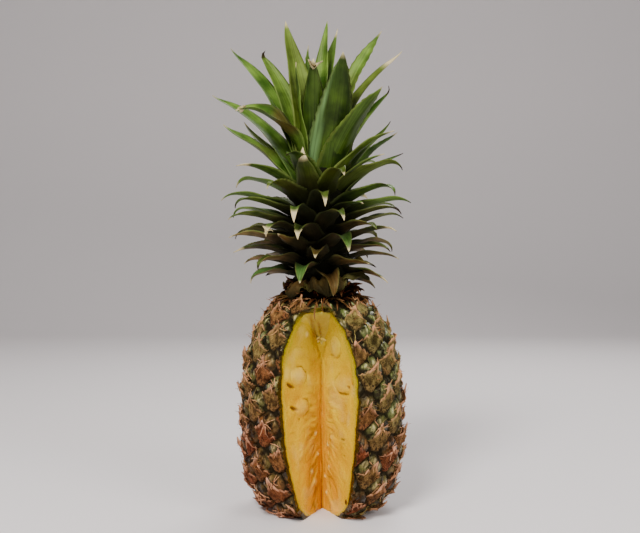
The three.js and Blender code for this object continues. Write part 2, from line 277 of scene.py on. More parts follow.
class Patchwork:
    """Vertices, faces and per-vertex values of one mesh, gathered patch by patch."""

    def __init__(self, *names):
        self.points, self.faces, self.count = [], [], 0
        self.values = {name: [] for name in names}

    def add(self, points, faces, **values):
        """Adds a patch and gives each named value, as one number or one per vertex."""
        points = np.asarray(points, float).reshape(-1, 3)
        self.points.append(points)
        self.faces.extend([tuple(i + self.count for i in face) for face in faces])
        self.count += len(points)
        for name, held in self.values.items():
            held.append(np.broadcast_to(np.asarray(values.get(name, 0.0), float).ravel(), len(points)))

    def build(self, name, material, merge=0.0, smooth_angle=None):
        """Makes the object, in metres, with its values as attributes."""
        mesh = bpy.data.meshes.new(name)
        points = np.concatenate(self.points) / 1000
        mesh.from_pydata(points.tolist(), [], self.faces)
        for key, held in self.values.items():
            attribute = mesh.attributes.new(key, "FLOAT", "POINT")
            attribute.data.foreach_set("value", np.concatenate(held).astype(np.float32))
        body = bmesh.new()
        body.from_mesh(mesh)
        if merge:
            bmesh.ops.remove_doubles(body, verts=body.verts, dist=merge / 1000)
            bmesh.ops.dissolve_degenerate(body, edges=body.edges, dist=NO_LENGTH / 1000)
        bmesh.ops.delete(body, geom=[v for v in body.verts if not v.link_faces], context="VERTS")
        bmesh.ops.recalc_face_normals(body, faces=body.faces)
        body.to_mesh(mesh)
        body.free()
        mesh.polygons.foreach_set("use_smooth", [True] * len(mesh.polygons))
        if smooth_angle is not None:
            mesh.set_sharp_from_angle(angle=smooth_angle)
        piece = bpy.data.objects.new(name, mesh)
        bpy.context.scene.collection.objects.link(piece)
        mesh.materials.append(material)
        return piece


def grid_faces(rows, columns, start=0, flip=False):
    """Quads between the rows of a grid whose vertices run row by row."""
    faces = []
    for row in range(rows - 1):
        base = start + row * columns
        for column in range(columns - 1):
            a, b = base + column, base + column + 1
            face = (a, b, b + columns, a + columns)
            faces.append(face[::-1] if flip else face)
    return faces


def zipped(first, second):
    """Triangles between two rows of vertices that run the same way and may differ in number."""
    faces, i, j = [], 0, 0
    last_i, last_j = len(first) - 1, len(second) - 1
    while i < last_i or j < last_j:
        if j == last_j or (i < last_i and (i + 1) / last_i <= (j + 1) / last_j):
            faces.append((first[i], first[i + 1], second[j]))
            i += 1
        else:
            faces.append((first[i], second[j + 1], second[j]))
            j += 1
    return faces


def ring_faces(first, second):
    """Quads between two closed rings of vertices that run the same way."""
    return list(zip(first, first[1:] + first[:1], second[1:] + second[:1], second))


def revolved(profile, sides):
    """Rows of points round the upright axis, one row for each radius and height of a profile."""
    turn = np.linspace(0, 2 * math.pi, sides + 1)
    return np.array([[(r * math.sin(a), -r * math.cos(a), z) for a in turn] for r, z in profile])


# ---- Materials -----------------------------------------------------------------------------------


def add_node(tree, kind, inputs=None, output=0, **settings):
    """Adds a node with its settings, fills its inputs with values or links, and gives one of its outputs."""
    node = tree.nodes.new("ShaderNode" + kind)
    for name, value in settings.items():
        setattr(node, name, value)
    for key, value in (inputs or {}).items():
        if isinstance(value, bpy.types.NodeSocket):
            tree.links.new(value, node.inputs[key])
        else:
            node.inputs[key].default_value = value
    return node.outputs[output] if node.outputs else None


def new_material(name):
    """An empty node material and its tree."""
    material = bpy.data.materials.new(name)
    material.use_nodes = True
    material.node_tree.nodes.clear()
    return material, material.node_tree


def add_rows(tree, value, kind, inputs, rows, output=0, **settings):
    """
    Adds a node for each row of a table, and keeps its output under the name that the row starts with. The
    rest of the row fills the inputs: each is the name of a socket kept before, a hex colour or a value.
    """
    for name, *row in rows:
        row = [linear(item) if isinstance(item, str) and item not in value else item for item in row]
        filled = {key: value.get(item, item) for key, item in zip(inputs, row)}
        value[name] = add_node(tree, kind, filled, output, **settings)


# The values that each mesh gives its material.
RIND_VALUES = ("bract", "painted_highlight", "groove", "green", "depth", "cut", "roof")
FLESH_VALUES = ("streak", "core", "low", "high", "shade", "rim", "pit", "pale", "skin")
LEAF_VALUES = tuple("along across edge under level tint dry burn deep glow brown bloom".split())
DRIED_VALUES = ("along", "across", "tip", "fresh", "margin")


def rind_material(settings):
    """Live pineapple skin, thick and waxy as it grew. The wax gives each eye small, bright highlights, and
    more are painted pale on the tops of its sepals.
    """
    material, tree = new_material("waxy_pineapple_rind")
    value = {name: add_node(tree, "Attribute", output="Fac", attribute_name=name) for name in RIND_VALUES}
    value["place"] = add_node(tree, "TexCoord", output="Object")
    # Noise in lumps of so many mm. Pores are drawn twice their real size, to show.
    noises = (
        ("blotch", "place", 1000 / 6.0, 3),
        ("fleck", "place", 1000 / 1.5, 4),
        ("pores", "place", 1000 / 0.9, 2),
    )
    add_rows(tree, value, "TexNoise", ("Vector", "Scale", "Detail"), noises)
    skin = (("skin depth", "green", -0.35, "depth"),)
    add_rows(tree, value, "Math", (0, 1, 2), skin, operation="MULTIPLY_ADD")
    # Each share, what it follows, and where it is 0 and 1.
    shares = (
        ("spread", "blotch", 0.42, 0.62),
        ("speck", "fleck", 0.55, 0.68),
        ("worn", "fleck", 0.4, 0.72),
        ("pale", "depth", 0.6, 0.1),
        ("skin", "skin depth", 0.28, 0.45),
    )
    add_rows(tree, value, "MapRange", ("Value", "From Min", "From Max"), shares)
    # Painted highlight: a pale tone on the tops of the sepal lobes, where their blotches are light.
    add_rows(tree, value, "Math", (0, 1), (("lit", "painted_highlight", "spread"),), operation="MULTIPLY")
    # Each tone, the share of the second of the two tones that it is mixed from, and those two.
    tones = (
        ("dry sepal", "spread", "180802", settings.dry_hex),
        ("live sepal", "spread", "080f03", settings.sepal_hex),
        ("painted highlight tone", "green", "945a2c", "ccd090"),
        ("dry scale", "worn", "280a02", settings.bract_hex),
        ("fresh scale", "worn", "180c02", "a08e52"),
        ("scale", "green", "dry scale", "fresh scale"),
        ("rim", "green", "74480a", "8c8a0c"),
        ("lip", "spread", "30260a", "7a7018"),
        ("cut tone", "pale", "rim", "c8a814"),
        ("cut tone", "skin", "cut tone", "141404"),
        ("cut tone", "roof", "cut tone", "lip"),
        ("colour", "green", "dry sepal", "live sepal"),
        ("colour", "lit", "colour", "painted highlight tone"),
        ("colour", "bract", "colour", "scale"),
        ("colour", "speck", "colour", "1c0a03"),
        # Grooves and the hollows between sepals: near black, partly their own dark brown and partly painted
        # shade.
        ("colour", "groove", "colour", "060100"),
        ("colour", "cut", "colour", "cut tone"),
    )
    add_rows(tree, value, "Mix", (0, 6, 7), tones, output=2, data_type="RGBA")
    rough = add_node(tree, "Math", {0: value["fleck"], 1: 0.35, 2: 0.08}, operation="MULTIPLY_ADD")
    matt = add_node(tree, "Math", {0: value["groove"], 1: value["bract"]}, operation="MAXIMUM")
    rough = add_node(tree, "Math", {0: matt, 1: 0.7, 2: rough}, operation="MULTIPLY_ADD")
    normal = add_node(tree, "Bump", {"Height": value["pores"], "Distance": 0.0004, "Strength": 0.4})
    # The warm tint keeps light from all round from greying the dark grooves.
    shader = {
        "Base Color": value["colour"],
        "Roughness": rough,
        "Normal": normal,
        "Specular IOR Level": 0.38,
        "Specular Tint": linear("e8d8a8"),
    }
    add_node(tree, "OutputMaterial", {"Surface": add_node(tree, "BsdfPrincipled", shader)})
    return material


def flesh_material(settings):
    """Fruit flesh cut with a knife: translucent yellow cells, wet with juice that glints small and sharp."""
    material, tree = new_material("wet_pineapple_flesh")
    value = {name: add_node(tree, "Attribute", output="Fac", attribute_name=name) for name in FLESH_VALUES}
    value["place"] = add_node(tree, "TexCoord", output="Object")
    # Noise in lumps of so many mm. Cells are drawn a little larger than real ones, to show.
    noises = (("cloud", "place", 1000 / 14.0, 2), ("cells", "place", 1000 / 1.3, 3))
    add_rows(tree, value, "TexNoise", ("Vector", "Scale", "Detail"), noises)
    # Each share, what it follows, where it is 0, where it is at its most, and its most.
    shares = (
        ("spread", "cloud", 0.35, 0.65, 1.0),
        ("ridge", "streak", -0.9, 0.4, 1.0),
        ("grains", "cells", 0.45, 0.8, 0.3),
    )
    add_rows(tree, value, "MapRange", ("Value", "From Min", "From Max", "To Max"), shares)
    # Each tone, the share of the second of the two tones that it is mixed from, and those two.
    tones = (
        ("ripe", "spread", settings.flesh_hex, "e8c616"),
        ("colour", "ridge", "cc940a", "ripe"),
        ("colour", "grains", "colour", "f0d028"),
        ("colour", "low", "colour", "e49c00"),
        ("colour", "high", "colour", "b79f20"),
        ("colour", "core", "colour", settings.core_hex),
        # Darker gold: painted shade in creases, seams and corners, and the flesh's own ochre in its seed
        # rings and the ring round the core.
        ("colour", "shade", "colour", "9a6c04"),
        ("colour", "rim", "colour", "a8a00a"),
        ("colour", "pit", "colour", "7c4c10"),
        ("colour", "pale", "colour", "ecd88a"),
        ("colour", "skin", "colour", "cdb85a"),
    )
    add_rows(tree, value, "Mix", (0, 6, 7), tones, output=2, data_type="RGBA")
    rough = add_node(tree, "Math", {0: value["cells"], 1: 0.35, 2: 0.12}, operation="MULTIPLY_ADD")
    normal = add_node(tree, "Bump", {"Height": value["cells"], "Distance": 0.0005, "Strength": 0.7})
    # Light goes some 4 mm into the flesh and comes out yellow, because its blue is lost on the way.
    shader = {
        "Base Color": value["colour"],
        "Roughness": rough,
        "Normal": normal,
        "IOR": 1.36,
        "Specular IOR Level": 0.3,
        "Specular Tint": linear("f4c860"),
        "Subsurface Weight": 0.2,
        "Subsurface Radius": (1.0, 0.6, 0.05),
        "Subsurface Scale": 0.004,
    }
    add_node(tree, "OutputMaterial", {"Surface": add_node(tree, "BsdfPrincipled", shader)})
    return material


def leaf_material(settings):
    """
    Living leaf, waxy and ribbed lengthways as it grew: a soft sheen, deep green above, brown below where it
    grows low in the crown, and dry at its tip.
    """
    material, tree = new_material("waxy_pineapple_leaf")
    value = {name: add_node(tree, "Attribute", output="Fac", attribute_name=name) for name in LEAF_VALUES}
    # Places on the leaf, across and along it, which differ from leaf to leaf. Drawn out, they give stripes.
    add_rows(tree, value, "Math", (0, 1), (("shift", "tint", 0.37),), operation="MULTIPLY")
    add_rows(tree, value, "CombineXYZ", ("X", "Y", "Z"), (("lie", "across", "along", "shift"),))
    stripes = (("long", "lie", (1, 0.02, 1)), ("longish", "lie", (1, 0.12, 1)))
    add_rows(tree, value, "VectorMath", (0, 1), stripes, operation="MULTIPLY")
    # Noise in lumps of so many mm. Veins are drawn twice their real width, to show.
    noises = (
        ("veins", "long", 1000 / 0.9, 2),
        ("bands", "longish", 1000 / 7.0, 3),
        ("blotch", "lie", 1000 / 16.0, 3),
    )
    add_rows(tree, value, "TexNoise", ("Vector", "Scale", "Detail"), noises)
    # Each share, what it follows, where it is 0, where it is at its most, and its most.
    shares = (
        ("spread", "blotch", 0.35, 0.65, 1.0),
        ("live", "level", 0.38, 0.66, 1.0),
        ("wax", "bands", 0.5, 0.75, 0.35),
        ("aged", "tint", 0.7, 1.0, 0.5),
        ("dark", "veins", 0.45, 0.7, 0.5),
    )
    add_rows(tree, value, "MapRange", ("Value", "From Min", "From Max", "To Max"), shares)
    # Each tone, the share of the second of the two tones that it is mixed from, and those two.
    tones = (
        ("upper low", "spread", "16280c", "355a2c"),
        ("upper high", "spread", "2f4e12", settings.leaf_hex),
        ("under low", "spread", "1e140a", "886a46"),
        # Undersides at the front are painted darker, as painted shade, and those at the back brighter, as
        # painted light shining through them.
        ("shaded under", "spread", "162608", "384e14"),
        ("backlit under", "spread", "42601a", "74943a"),
        ("upper side", "level", "upper low", "upper high"),
        ("under side", "glow", "shaded under", "backlit under"),
        ("under side", "live", "under low", "under side"),
        ("tip", "burn", "c9b98c", "24140c"),
        ("colour", "under", "upper side", "under side"),
        ("colour", "wax", "colour", "466628"),
        ("colour", "aged", "colour", "4c4410"),
        ("colour", "bloom", "colour", "5a7848"),
        ("colour", "brown", "colour", "543c1c"),
        ("colour", "dark", "colour", "0c1404"),
        ("colour", "edge", "colour", "76803a"),
        # Painted shade: near black deep among the leaves, on the low front leaves and on the stem.
        ("colour", "deep", "colour", "030201"),
        ("colour", "dry", "colour", "tip"),
    )
    add_rows(tree, value, "Mix", (0, 6, 7), tones, output=2, data_type="RGBA")
    rough = add_node(tree, "Math", {0: value["blotch"], 1: 0.25, 2: 0.3}, operation="MULTIPLY_ADD")
    matt = add_node(tree, "Math", {0: value["dry"], 1: value["deep"]}, operation="MAXIMUM")
    rough = add_node(tree, "Math", {0: matt, 1: 0.5, 2: rough}, operation="MULTIPLY_ADD")
    normal = add_node(tree, "Bump", {"Height": value["veins"], "Distance": 0.00035, "Strength": 0.8})
    shader = {
        "Base Color": value["colour"],
        "Roughness": rough,
        "Normal": normal,
        "Specular IOR Level": 0.28,
        "Specular Tint": linear("dce4a8"),
    }
    add_node(tree, "OutputMaterial", {"Surface": add_node(tree, "BsdfPrincipled", shader)})
    return material


def dried_material(finish, deep, pale, margin, rib_width):
    """
    Bract that dried where it grew: papery, with no shine, ribs about rib_width mm apart, and an edge that is
    pale where it tore thin.
    """
    material, tree = new_material(finish)
    value = {name: add_node(tree, "Attribute", output="Fac", attribute_name=name) for name in DRIED_VALUES}
    value["place"] = add_node(tree, "TexCoord", output="Object")
    add_rows(tree, value, "CombineXYZ", ("X", "Y", "Z"), (("lie", "across", "along", "tip"),))
    add_rows(tree, value, "VectorMath", (0, 1), (("long", "lie", (1, 0.08, 1)),), operation="MULTIPLY")
    # Noise in lumps of so many mm.
    noises = (
        ("ribs", "long", 1000 / rib_width, 3),
        ("fleck", "place", 1000 / 0.8, 3),
        ("blotch", "place", 1000 / 5.0, 2),
    )
    add_rows(tree, value, "TexNoise", ("Vector", "Scale", "Detail"), noises)
    # Each share, what it follows, where it is at its least and at its most, and its least and its most.
    shares = (
        ("spread", "ribs", 0.36, 0.64, 0.0, 0.85),
        ("worn", "blotch", 0.35, 0.65, -0.15, 0.45),
        ("specks", "fleck", 0.56, 0.8, 0.0, 0.4),
        ("rough", "fresh", 0.0, 1.0, 0.8, 0.5),
    )
    add_rows(tree, value, "MapRange", ("Value", "From Min", "From Max", "To Min", "To Max"), shares)
    rise = add_node(tree, "Math", {0: value["spread"], 1: value["tip"]}, operation="ADD")
    rise = add_node(tree, "Math", {0: rise, 1: value["worn"]}, operation="ADD", use_clamp=True)
    value["rise"] = add_node(tree, "Math", {0: rise, 1: 2.1}, operation="POWER")
    # Each tone, the share of the second of the two tones that it is mixed from, and those two.
    tones = (
        ("live", "rise", "1a1a06", "aca45c"),
        ("torn", "fresh", margin, "e8a474"),
        ("colour", "rise", deep, pale),
        ("colour", "fresh", "colour", "live"),
        ("colour", "specks", "colour", "1e0d06"),
        ("colour", "margin", "colour", "torn"),
    )
    add_rows(tree, value, "Mix", (0, 6, 7), tones, output=2, data_type="RGBA")
    height = add_node(tree, "Math", {0: value["ribs"], 1: value["fleck"]}, operation="ADD")
    normal = add_node(tree, "Bump", {"Height": height, "Distance": 0.0007, "Strength": 0.9})
    shader = {
        "Base Color": value["colour"],
        "Roughness": value["rough"],
        "Normal": normal,
        "Specular IOR Level": 0.12,
        "Specular Tint": linear("dcb888"),
    }
    add_node(tree, "OutputMaterial", {"Surface": add_node(tree, "BsdfPrincipled", shader)})
    return material


# ---- The fruit's surface -------------------------------------------------------------------------


def fruit_radius(height):
    """The fruit's radius at a height, at the floor of the grooves."""
    height = np.asarray(height, float)
    low = height < BELLY_HEIGHT
    share = np.abs(height - BELLY_HEIGHT) / np.where(low, LOWER_REACH, UPPER_REACH)
    power = np.where(low, LOWER_POWER, UPPER_POWER)
    return BELLY_RADIUS * (1 - np.clip(share, 0, 0.999) ** power) ** (1 / power)


SKIN_HEIGHTS = np.arange(0, FRUIT_HEIGHT + 0.25, 0.5)
SKIN_RADII = fruit_radius(SKIN_HEIGHTS)
SKIN_ALONG = np.concatenate([[0], np.cumsum(np.hypot(0.5, np.diff(SKIN_RADII)))])
SKIN_LENGTH = SKIN_ALONG[-1]


def height_along(along):
    """The height of the point that is a given distance along the skin from the base."""
    return np.interp(along, SKIN_ALONG, SKIN_HEIGHTS)


def skin_point(azimuth, height, lift=0.0):
    """Points on the skin, lifted off it along its normal."""
    radius = fruit_radius(height)
    tilt = np.arctan2(radius - fruit_radius(height + 0.1), 0.1)
    out = radius + lift * np.cos(tilt)
    up = height + lift * np.sin(tilt)
    return np.stack([out * np.sin(azimuth), -out * np.cos(azimuth), up], -1)


def eye_centres():
    """Azimuth, distance along the skin and cell radius of each eye, on one golden-angle spiral."""
    eyes, count = [], 0.0
    for i in range(1, len(SKIN_HEIGHTS)):
        radius, along = SKIN_RADII[i], SKIN_ALONG[i]
        area = EYE_AREA * (radius / BELLY_RADIUS) ** EYE_TAPER
        before = math.floor(count)
        count += 2 * math.pi * radius * (along - SKIN_ALONG[i - 1]) / area
        if math.floor(count) == before:
            continue
        size = math.sqrt(area / math.pi)
        if EYE_MARGIN * size <= along <= SKIN_LENGTH - EYE_MARGIN * size:
            eyes.append((EYE_PHASE + math.floor(count) * GOLDEN_ANGLE, along, size))
    return np.array(eyes)


EYES = eye_centres()
EYE_DRAWS = np.random.default_rng(31).random((len(EYES), 6))
# How green each eye is, from 0 (browned) to 1: greener higher up and towards the fruit's right.
EYE_GREEN = (
    0.05
    + 0.7 * smooth(20, 150, height_along(EYES[:, 1]))
    + 0.22 * np.sin(EYES[:, 0])
    + 0.6 * (EYE_DRAWS[:, 5] - 0.4)
)
# How far each eye leans, in radians.
EYE_LEAN = 0.55 * (EYE_DRAWS[:, 3] - 0.5)


def bract_edge(across, eye):
    """How far up the eye a bract's torn edge runs, in cell radii: a point at its middle, low at its sides."""
    lean, depth, jag = EYE_DRAWS[eye, 0] - 0.5, EYE_DRAWS[eye, 1], EYE_DRAWS[eye, 2]
    off = np.abs(across - 0.16 * lean)
    torn = 0.05 * np.sin(across * 23 + 40 * jag) + 0.035 * np.sin(across * 51 + 90 * jag)
    return 0.34 + 0.14 * depth - (0.72 + 0.2 * depth) * off**0.8 + torn


def eye_field(azimuth, along):
    """For points on the skin: their eye, their place in it in cell radii, and how far its border is."""
    radius = fruit_radius(height_along(along))
    eye = np.empty(len(azimuth), int)
    across, up, gap = np.empty((3, len(azimuth)))
    for start in range(0, len(azimuth), EYE_BATCH):
        part = slice(start, start + EYE_BATCH)
        turn = (azimuth[part, None] - EYES[:, 0] + math.pi) % (2 * math.pi) - math.pi
        u = turn * radius[part, None] / EYES[:, 2]
        v = (along[part, None] - EYES[:, 1]) / EYES[:, 2]
        distance = np.hypot(u, v)
        nearest = np.argpartition(distance, 1, axis=1)[:, :2]
        rows = np.arange(len(u))
        first, second = distance[rows, nearest[:, 0]], distance[rows, nearest[:, 1]]
        eye[part] = np.where(first < second, nearest[:, 0], nearest[:, 1])
        across[part], up[part] = turned(u[rows, eye[part]], v[rows, eye[part]], EYE_LEAN[eye[part]])
        gap[part] = np.abs(second - first)
    return eye, across, up, gap


def rind_relief(azimuth, along):
    """How high the skin stands above its grooves, and the values that colour it."""
    eye, across, up, gap = eye_field(azimuth, along)
    height = height_along(along)
    place = skin_point(azimuth, height)
    gap = gap + 0.04 * noise(place, 2.5, 1)
    above = up - bract_edge(across, eye)
    side = np.clip(1 - 0.55 * np.abs(across) ** 1.2, 0.2, 1)
    bract = (2.3 + 2.9 * np.exp(np.minimum(above, 0) / 0.36)) * side
    lobes = np.zeros(len(across))
    for middle, level, reach in ((0.02, 0.62, 0.36), (-0.46, 0.36, 0.44), (0.46, 0.36, 0.44)):
        off = np.hypot(across - middle, 0.85 * (up - level)) / reach
        lobes = np.maximum(lobes, 0.6 * np.sqrt(np.clip(1 - off * off, 0, 1)) + 0.4 * np.clip(1 - off, 0, 1))
    sepal = 0.9 + 2.5 * lobes
    step = smooth(-0.01, 0.05, above)
    lift = bract * (1 - step) + sepal * step
    lift = lift * smooth(0.0, 0.16, gap) ** 0.8
    fan = np.arctan2(across, up + 1.3 + 0.4 * EYE_DRAWS[eye, 3])
    rib = np.sin(fan * 42 + 9 * EYE_DRAWS[eye, 4] + 1.6 * noise(place, 5, 2))
    inside = smooth(0.05, 0.3, gap)
    lift += inside * (1 - step) * 0.18 * rib
    lift += inside * step * 0.22 * np.sin(across * 21 + 2 * noise(place, 4, 3))
    lift += inside * (0.45 * noise(place, 4.2, 4) + 0.25 * noise(place, 1.9, 5))
    values = {
        "bract": 1 - step,
        # A painted highlight on the tops of the sepal lobes.
        "painted_highlight": smooth(0.66, 1.0, lobes + 0.15 * np.sin(across * 26 + 3 * noise(place, 3, 7))) * step,
        # Grooves between the eyes and hollows between the sepal lobes, near black: partly their own dark
        # brown, partly painted shade.
        "groove": np.maximum(1 - smooth(0.0, 0.14, gap), 0.9 * step * (1 - smooth(0.02, 0.3, lobes))),
        "green": np.clip(EYE_GREEN[eye] + 0.2 * noise(place, 9, 6), 0, 1),
    }
    return np.maximum(lift, 0.05), values


# ---- The cut -------------------------------------------------------------------------------------


def side_angle(side, height):
    """The angle of the right (1) or left (-1) cut from the wedge's middle, at a height."""
    table = np.array(WEDGE_SIDES, float)
    return np.radians(np.interp(height, table[:, 0], table[:, 2 if side > 0 else 1]))


def cut_azimuth(side, radius, height):
    """How far round from -Y a side's cut meets a circle of that radius at that height, 0 above the cut."""
    angle = side_angle(side, height)
    across = angle - np.arcsin(np.clip(WEDGE_APEX * np.sin(angle) / radius, 0, 1))
    ceiling = WEDGE_APEX + np.maximum(height - WEDGE_INNER_TOP, 0) / math.tan(WEDGE_SLOPE)
    top = np.arccos(np.clip(ceiling / radius, -1, 1))
    return np.where(height > WEDGE_INNER_TOP, np.minimum(across, top), across)


def in_wedge(points, clearance=0.0):
    """Whether points lie in the wedge's space, grown by a clearance."""
    x, y, z = np.moveaxis(np.asarray(points, float), -1, 0)
    ahead = -y - WEDGE_APEX
    angle = np.where(x > 0, side_angle(1, z), side_angle(-1, z))
    beside = ahead * np.sin(angle) - np.abs(x) * np.cos(angle)
    ceiling = WEDGE_INNER_TOP + np.maximum(ahead, 0) * math.tan(WEDGE_SLOPE)
    return (beside > -clearance) & (z < ceiling + clearance)


def kept_off_cut(points, clearance=0.5):
    """Points with those in the wedge turned round the fruit's axis to just outside the nearer cut."""
    x, y, z = np.moveaxis(points, -1, 0)
    radius, azimuth = np.hypot(x, y), np.arctan2(x, -y)
    right = cut_azimuth(1, radius, z)
    left = -cut_azimuth(-1, radius, z)
    margin = clearance / radius
    inside = (azimuth < right + margin) & (azimuth > left - margin) & (right - left > 2 * CUT_CLOSED)
    nearer = np.where(azimuth > (right + left) / 2, right + margin, left - margin)
    azimuth = np.where(inside, nearer, azimuth)
    return np.stack([radius * np.sin(azimuth), -radius * np.cos(azimuth), z], -1)


def skin_rows():
    """Distances along the skin, closer together where the cut's ceiling comes out."""
    row_count, ceiling_rows = 206, 40
    ceiling = np.interp([147.0, 156.0], SKIN_HEIGHTS, SKIN_ALONG)
    rows = np.concatenate([np.linspace(0, SKIN_LENGTH, row_count), np.linspace(*ceiling, ceiling_rows)])
    return np.unique(np.round(rows, 3))


def rind_edge(side, along, height):
    """The azimuths of one edge of the rind, where the cut meets its lifted skin, a little ragged."""
    edge, rounds = cut_azimuth(side, fruit_radius(height), height), 4
    for _ in range(rounds):
        lift, _ = rind_relief(side * edge, along)
        point = skin_point(side * edge, height, lift)
        torn = 1.1 * noise(point, 3.4, 8) * smooth(128, 142, point[:, 2])
        edge = cut_azimuth(side, np.hypot(point[:, 0], point[:, 1]), point[:, 2] + torn)
    ragged = 0.014 * (0.7 + noise(skin_point(side * edge, height), 3.0, 9))
    return np.where(edge < CUT_CLOSED, 0.0, edge - np.minimum(ragged, edge * 0.3))


def round_the_fruit(right, left, closed, columns):
    """Azimuths, row by row, from the right edge of the cut round the fruit's back to its left edge."""
    right, left = np.where(closed, 0.0, right), np.where(closed, 0.0, left)
    share = np.linspace(0, 1, columns)
    return right[:, None] + share * (2 * math.pi - right - left)[:, None]


def outer_skin(along, height, right, left, closed, columns=330):
    """The rind's outer face, row by row, with its eyes, and the values that colour it."""
    azimuth = round_the_fruit(right, left, closed, columns)
    lift, values = rind_relief(azimuth.ravel(), np.repeat(along, columns))
    ends = smooth(0, 1.5, along) * smooth(0, 1.5, SKIN_LENGTH - along)
    lift = lift.reshape(azimuth.shape) * (0.15 + 0.85 * ends[:, None])
    lift[closed, -1] = lift[closed, 0]
    outer = skin_point(azimuth, height[:, None], lift)
    outer[..., 2] = np.clip(outer[..., 2], 0, FRUIT_HEIGHT)
    return outer, values


def add_rind_cuts(parts, outer, inner, height, last):
    """Adds the cut through the rind, up to its last open row: on the right (column 0) and the left (-1)."""
    columns = 6
    inward = np.linspace(0, 1, columns)
    for column, green_from, green_to in ((0, 55, 105), (-1, 95, 125)):
        from_outer, from_inner = outer[:last, None, column], inner[:last, None, column]
        parts.add(
            from_outer * (1 - inward[:, None]) + from_inner * inward[:, None],
            grid_faces(last, columns, flip=column == 0),
            depth=np.tile(1 - inward, last),
            roof=np.repeat(smooth(138, 150, height[:last]), columns),
            cut=1.0,
            green=np.repeat(smooth(green_from, green_to, height[:last]), columns),
        )


def make_rind(settings):
    """The skin as one closed shell, from its lifted eyes to the smooth wall that the flesh lies against."""
    along = skin_rows()
    height = height_along(along)
    right, left = rind_edge(1, along, height), rind_edge(-1, along, height)
    closed = (right < CUT_CLOSED) | (left < CUT_CLOSED)
    outer, values = outer_skin(along, height, right, left, closed)
    inner_radius = fruit_radius(height) - RIND_THICKNESS
    right, left = cut_azimuth(1, inner_radius, height), cut_azimuth(-1, inner_radius, height)
    rows, columns, inner_columns = len(along), outer.shape[1], 36
    inner = heading(round_the_fruit(right, left, closed, inner_columns), 0.0) * inner_radius[:, None, None]
    inner[..., 2] = height[:, None]
    parts = Patchwork(*RIND_VALUES)
    parts.add(outer, grid_faces(rows, columns), depth=1.0, **values)
    start = parts.count
    parts.add(inner, grid_faces(rows, inner_columns, flip=True), cut=1.0)
    add_rind_cuts(parts, outer, inner, height, np.flatnonzero(~closed)[-1] + 2)
    for row in (0, rows - 1):
        first = [row * columns + i for i in range(columns)]
        second = [start + row * inner_columns + i for i in range(inner_columns)]
        parts.faces.extend(zipped(first, second))
    return parts.build("eyed_rind", rind_material(settings), merge=WELD, smooth_angle=SHARP_EDGE)


# Side of the cut, distance from its inner line and height of each seed's hollow, its half-width and
# half-height, where its rim is plainest, in degrees up from the inner side, and how plainly it shows.
SEED_HOLLOWS = [
    (-1, 31.0, 103.0, 10.0, 6.8, 50, 1.0),
    (-1, 27.0, 79.5, 9.5, 6.4, 0, 0.9),
    (-1, 30.0, 120.0, 8.0, 4.5, 110, 0.3),
    (-1, 34.0, 46.0, 8.0, 5.0, 30, 0.25),
    (1, 31.0, 97.5, 11.0, 7.4, 10, 0.6),
    (1, 22.5, 124.0, 9.5, 8.0, -125, 0.8),
    (1, 33.0, 61.0, 9.0, 5.5, -60, 0.35),
    (1, 36.0, 33.0, 7.0, 4.5, -90, 0.25),
]
# Side, distance and height of each brown slit, its half-length, half-width, slope in degrees, and depth.
SEED_SLITS = [
    (-1, 40.5, 97.0, 4.8, 1.3, 24, 1.0),
    (-1, 37.5, 80.3, 4.4, 1.3, 20, 1.0),
    (-1, 31.0, 71.5, 0.9, 0.8, 0, 0.7),
    (1, 31.5, 90.3, 8.0, 0.8, 2, 0.7),
    (1, 45.8, 98.5, 1.6, 1.0, 0, 1.0),
    (1, 40.0, 96.2, 1.6, 1.0, 20, 0.9),
    (1, 34.5, 57.6, 3.4, 0.7, 8, 0.7),
    (1, 36.5, 46.5, 1.2, 0.7, 0, 0.7),
    (1, 17.0, 117.2, 4.0, 0.6, 3, 0.45),
]
# Place, azimuth, length and width of the crumbs that the knife left where its cuts met under the crown.
TORN_SHREDS = [
    (-6.0, -9.4, 129.0, -70, 3.2, 3.4),
    (-3.4, -9.6, 129.6, 0, 3.2, 3.8),
    (-0.8, -9.4, 128.8, 60, 3.4, 3.2),
    (1.4, -9.2, 128.0, 40, 2.8, 2.8),
    (-2.2, -9.2, 127.0, -40, 2.6, 2.6),
]
# Side of the cut, distance from its inner line, height and half-width of the pale tufts by the core:
# raised fibres whose paleness is also a painted highlight, for glints of juice.
PALE_TUFTS_AND_GLINTS = [
    (-1, 12, 22, 2.4),
    (-1, 16, 31, 2.0),
    (-1, 7, 42, 1.3),
    (-1, 9, 58, 1.6),
    (-1, 22, 133, 1.8),
    (1, 9, 50, 1.6),
    (1, 13, 34, 1.4),
    (1, 6, 26, 1.2),
    (1, 10, 14, 1.4),
]
# The foot and the head, as x and z, and the width of the seams that the knife left under the crown.
KNIFE_SEAMS = [((-5.0, 128.5), (-9.0, 147.0), 1.5), ((-0.8, 130.5), (-2.8, 142.5), 0.8)]
# The small facet that the knife's point left under the slope: its foot, its height and its half-width.
TONGUE_FOOT, TONGUE_TOP, TONGUE_WIDTH = 112.0, 124.0, 7.2
TONGUE_END = 134.0  # above this height it is part of the slope
# How far from the floor a bract's lowest point stays.
FLOOR_GAP = 0.3
# How far the knife's soft corners are filled, and how wide, in mm.
CORNER_FILL, CORNER_REACH = 1.3, 2.8
# How fast the flesh's fibres fan out, for each mm from the core, and the height at which they run level.
FAN_RATE = 0.015
FAN_MIDDLE = 84.0
# How much a brown slit bends, as a share of its length squared, in mm.
SLIT_BEND = 0.008


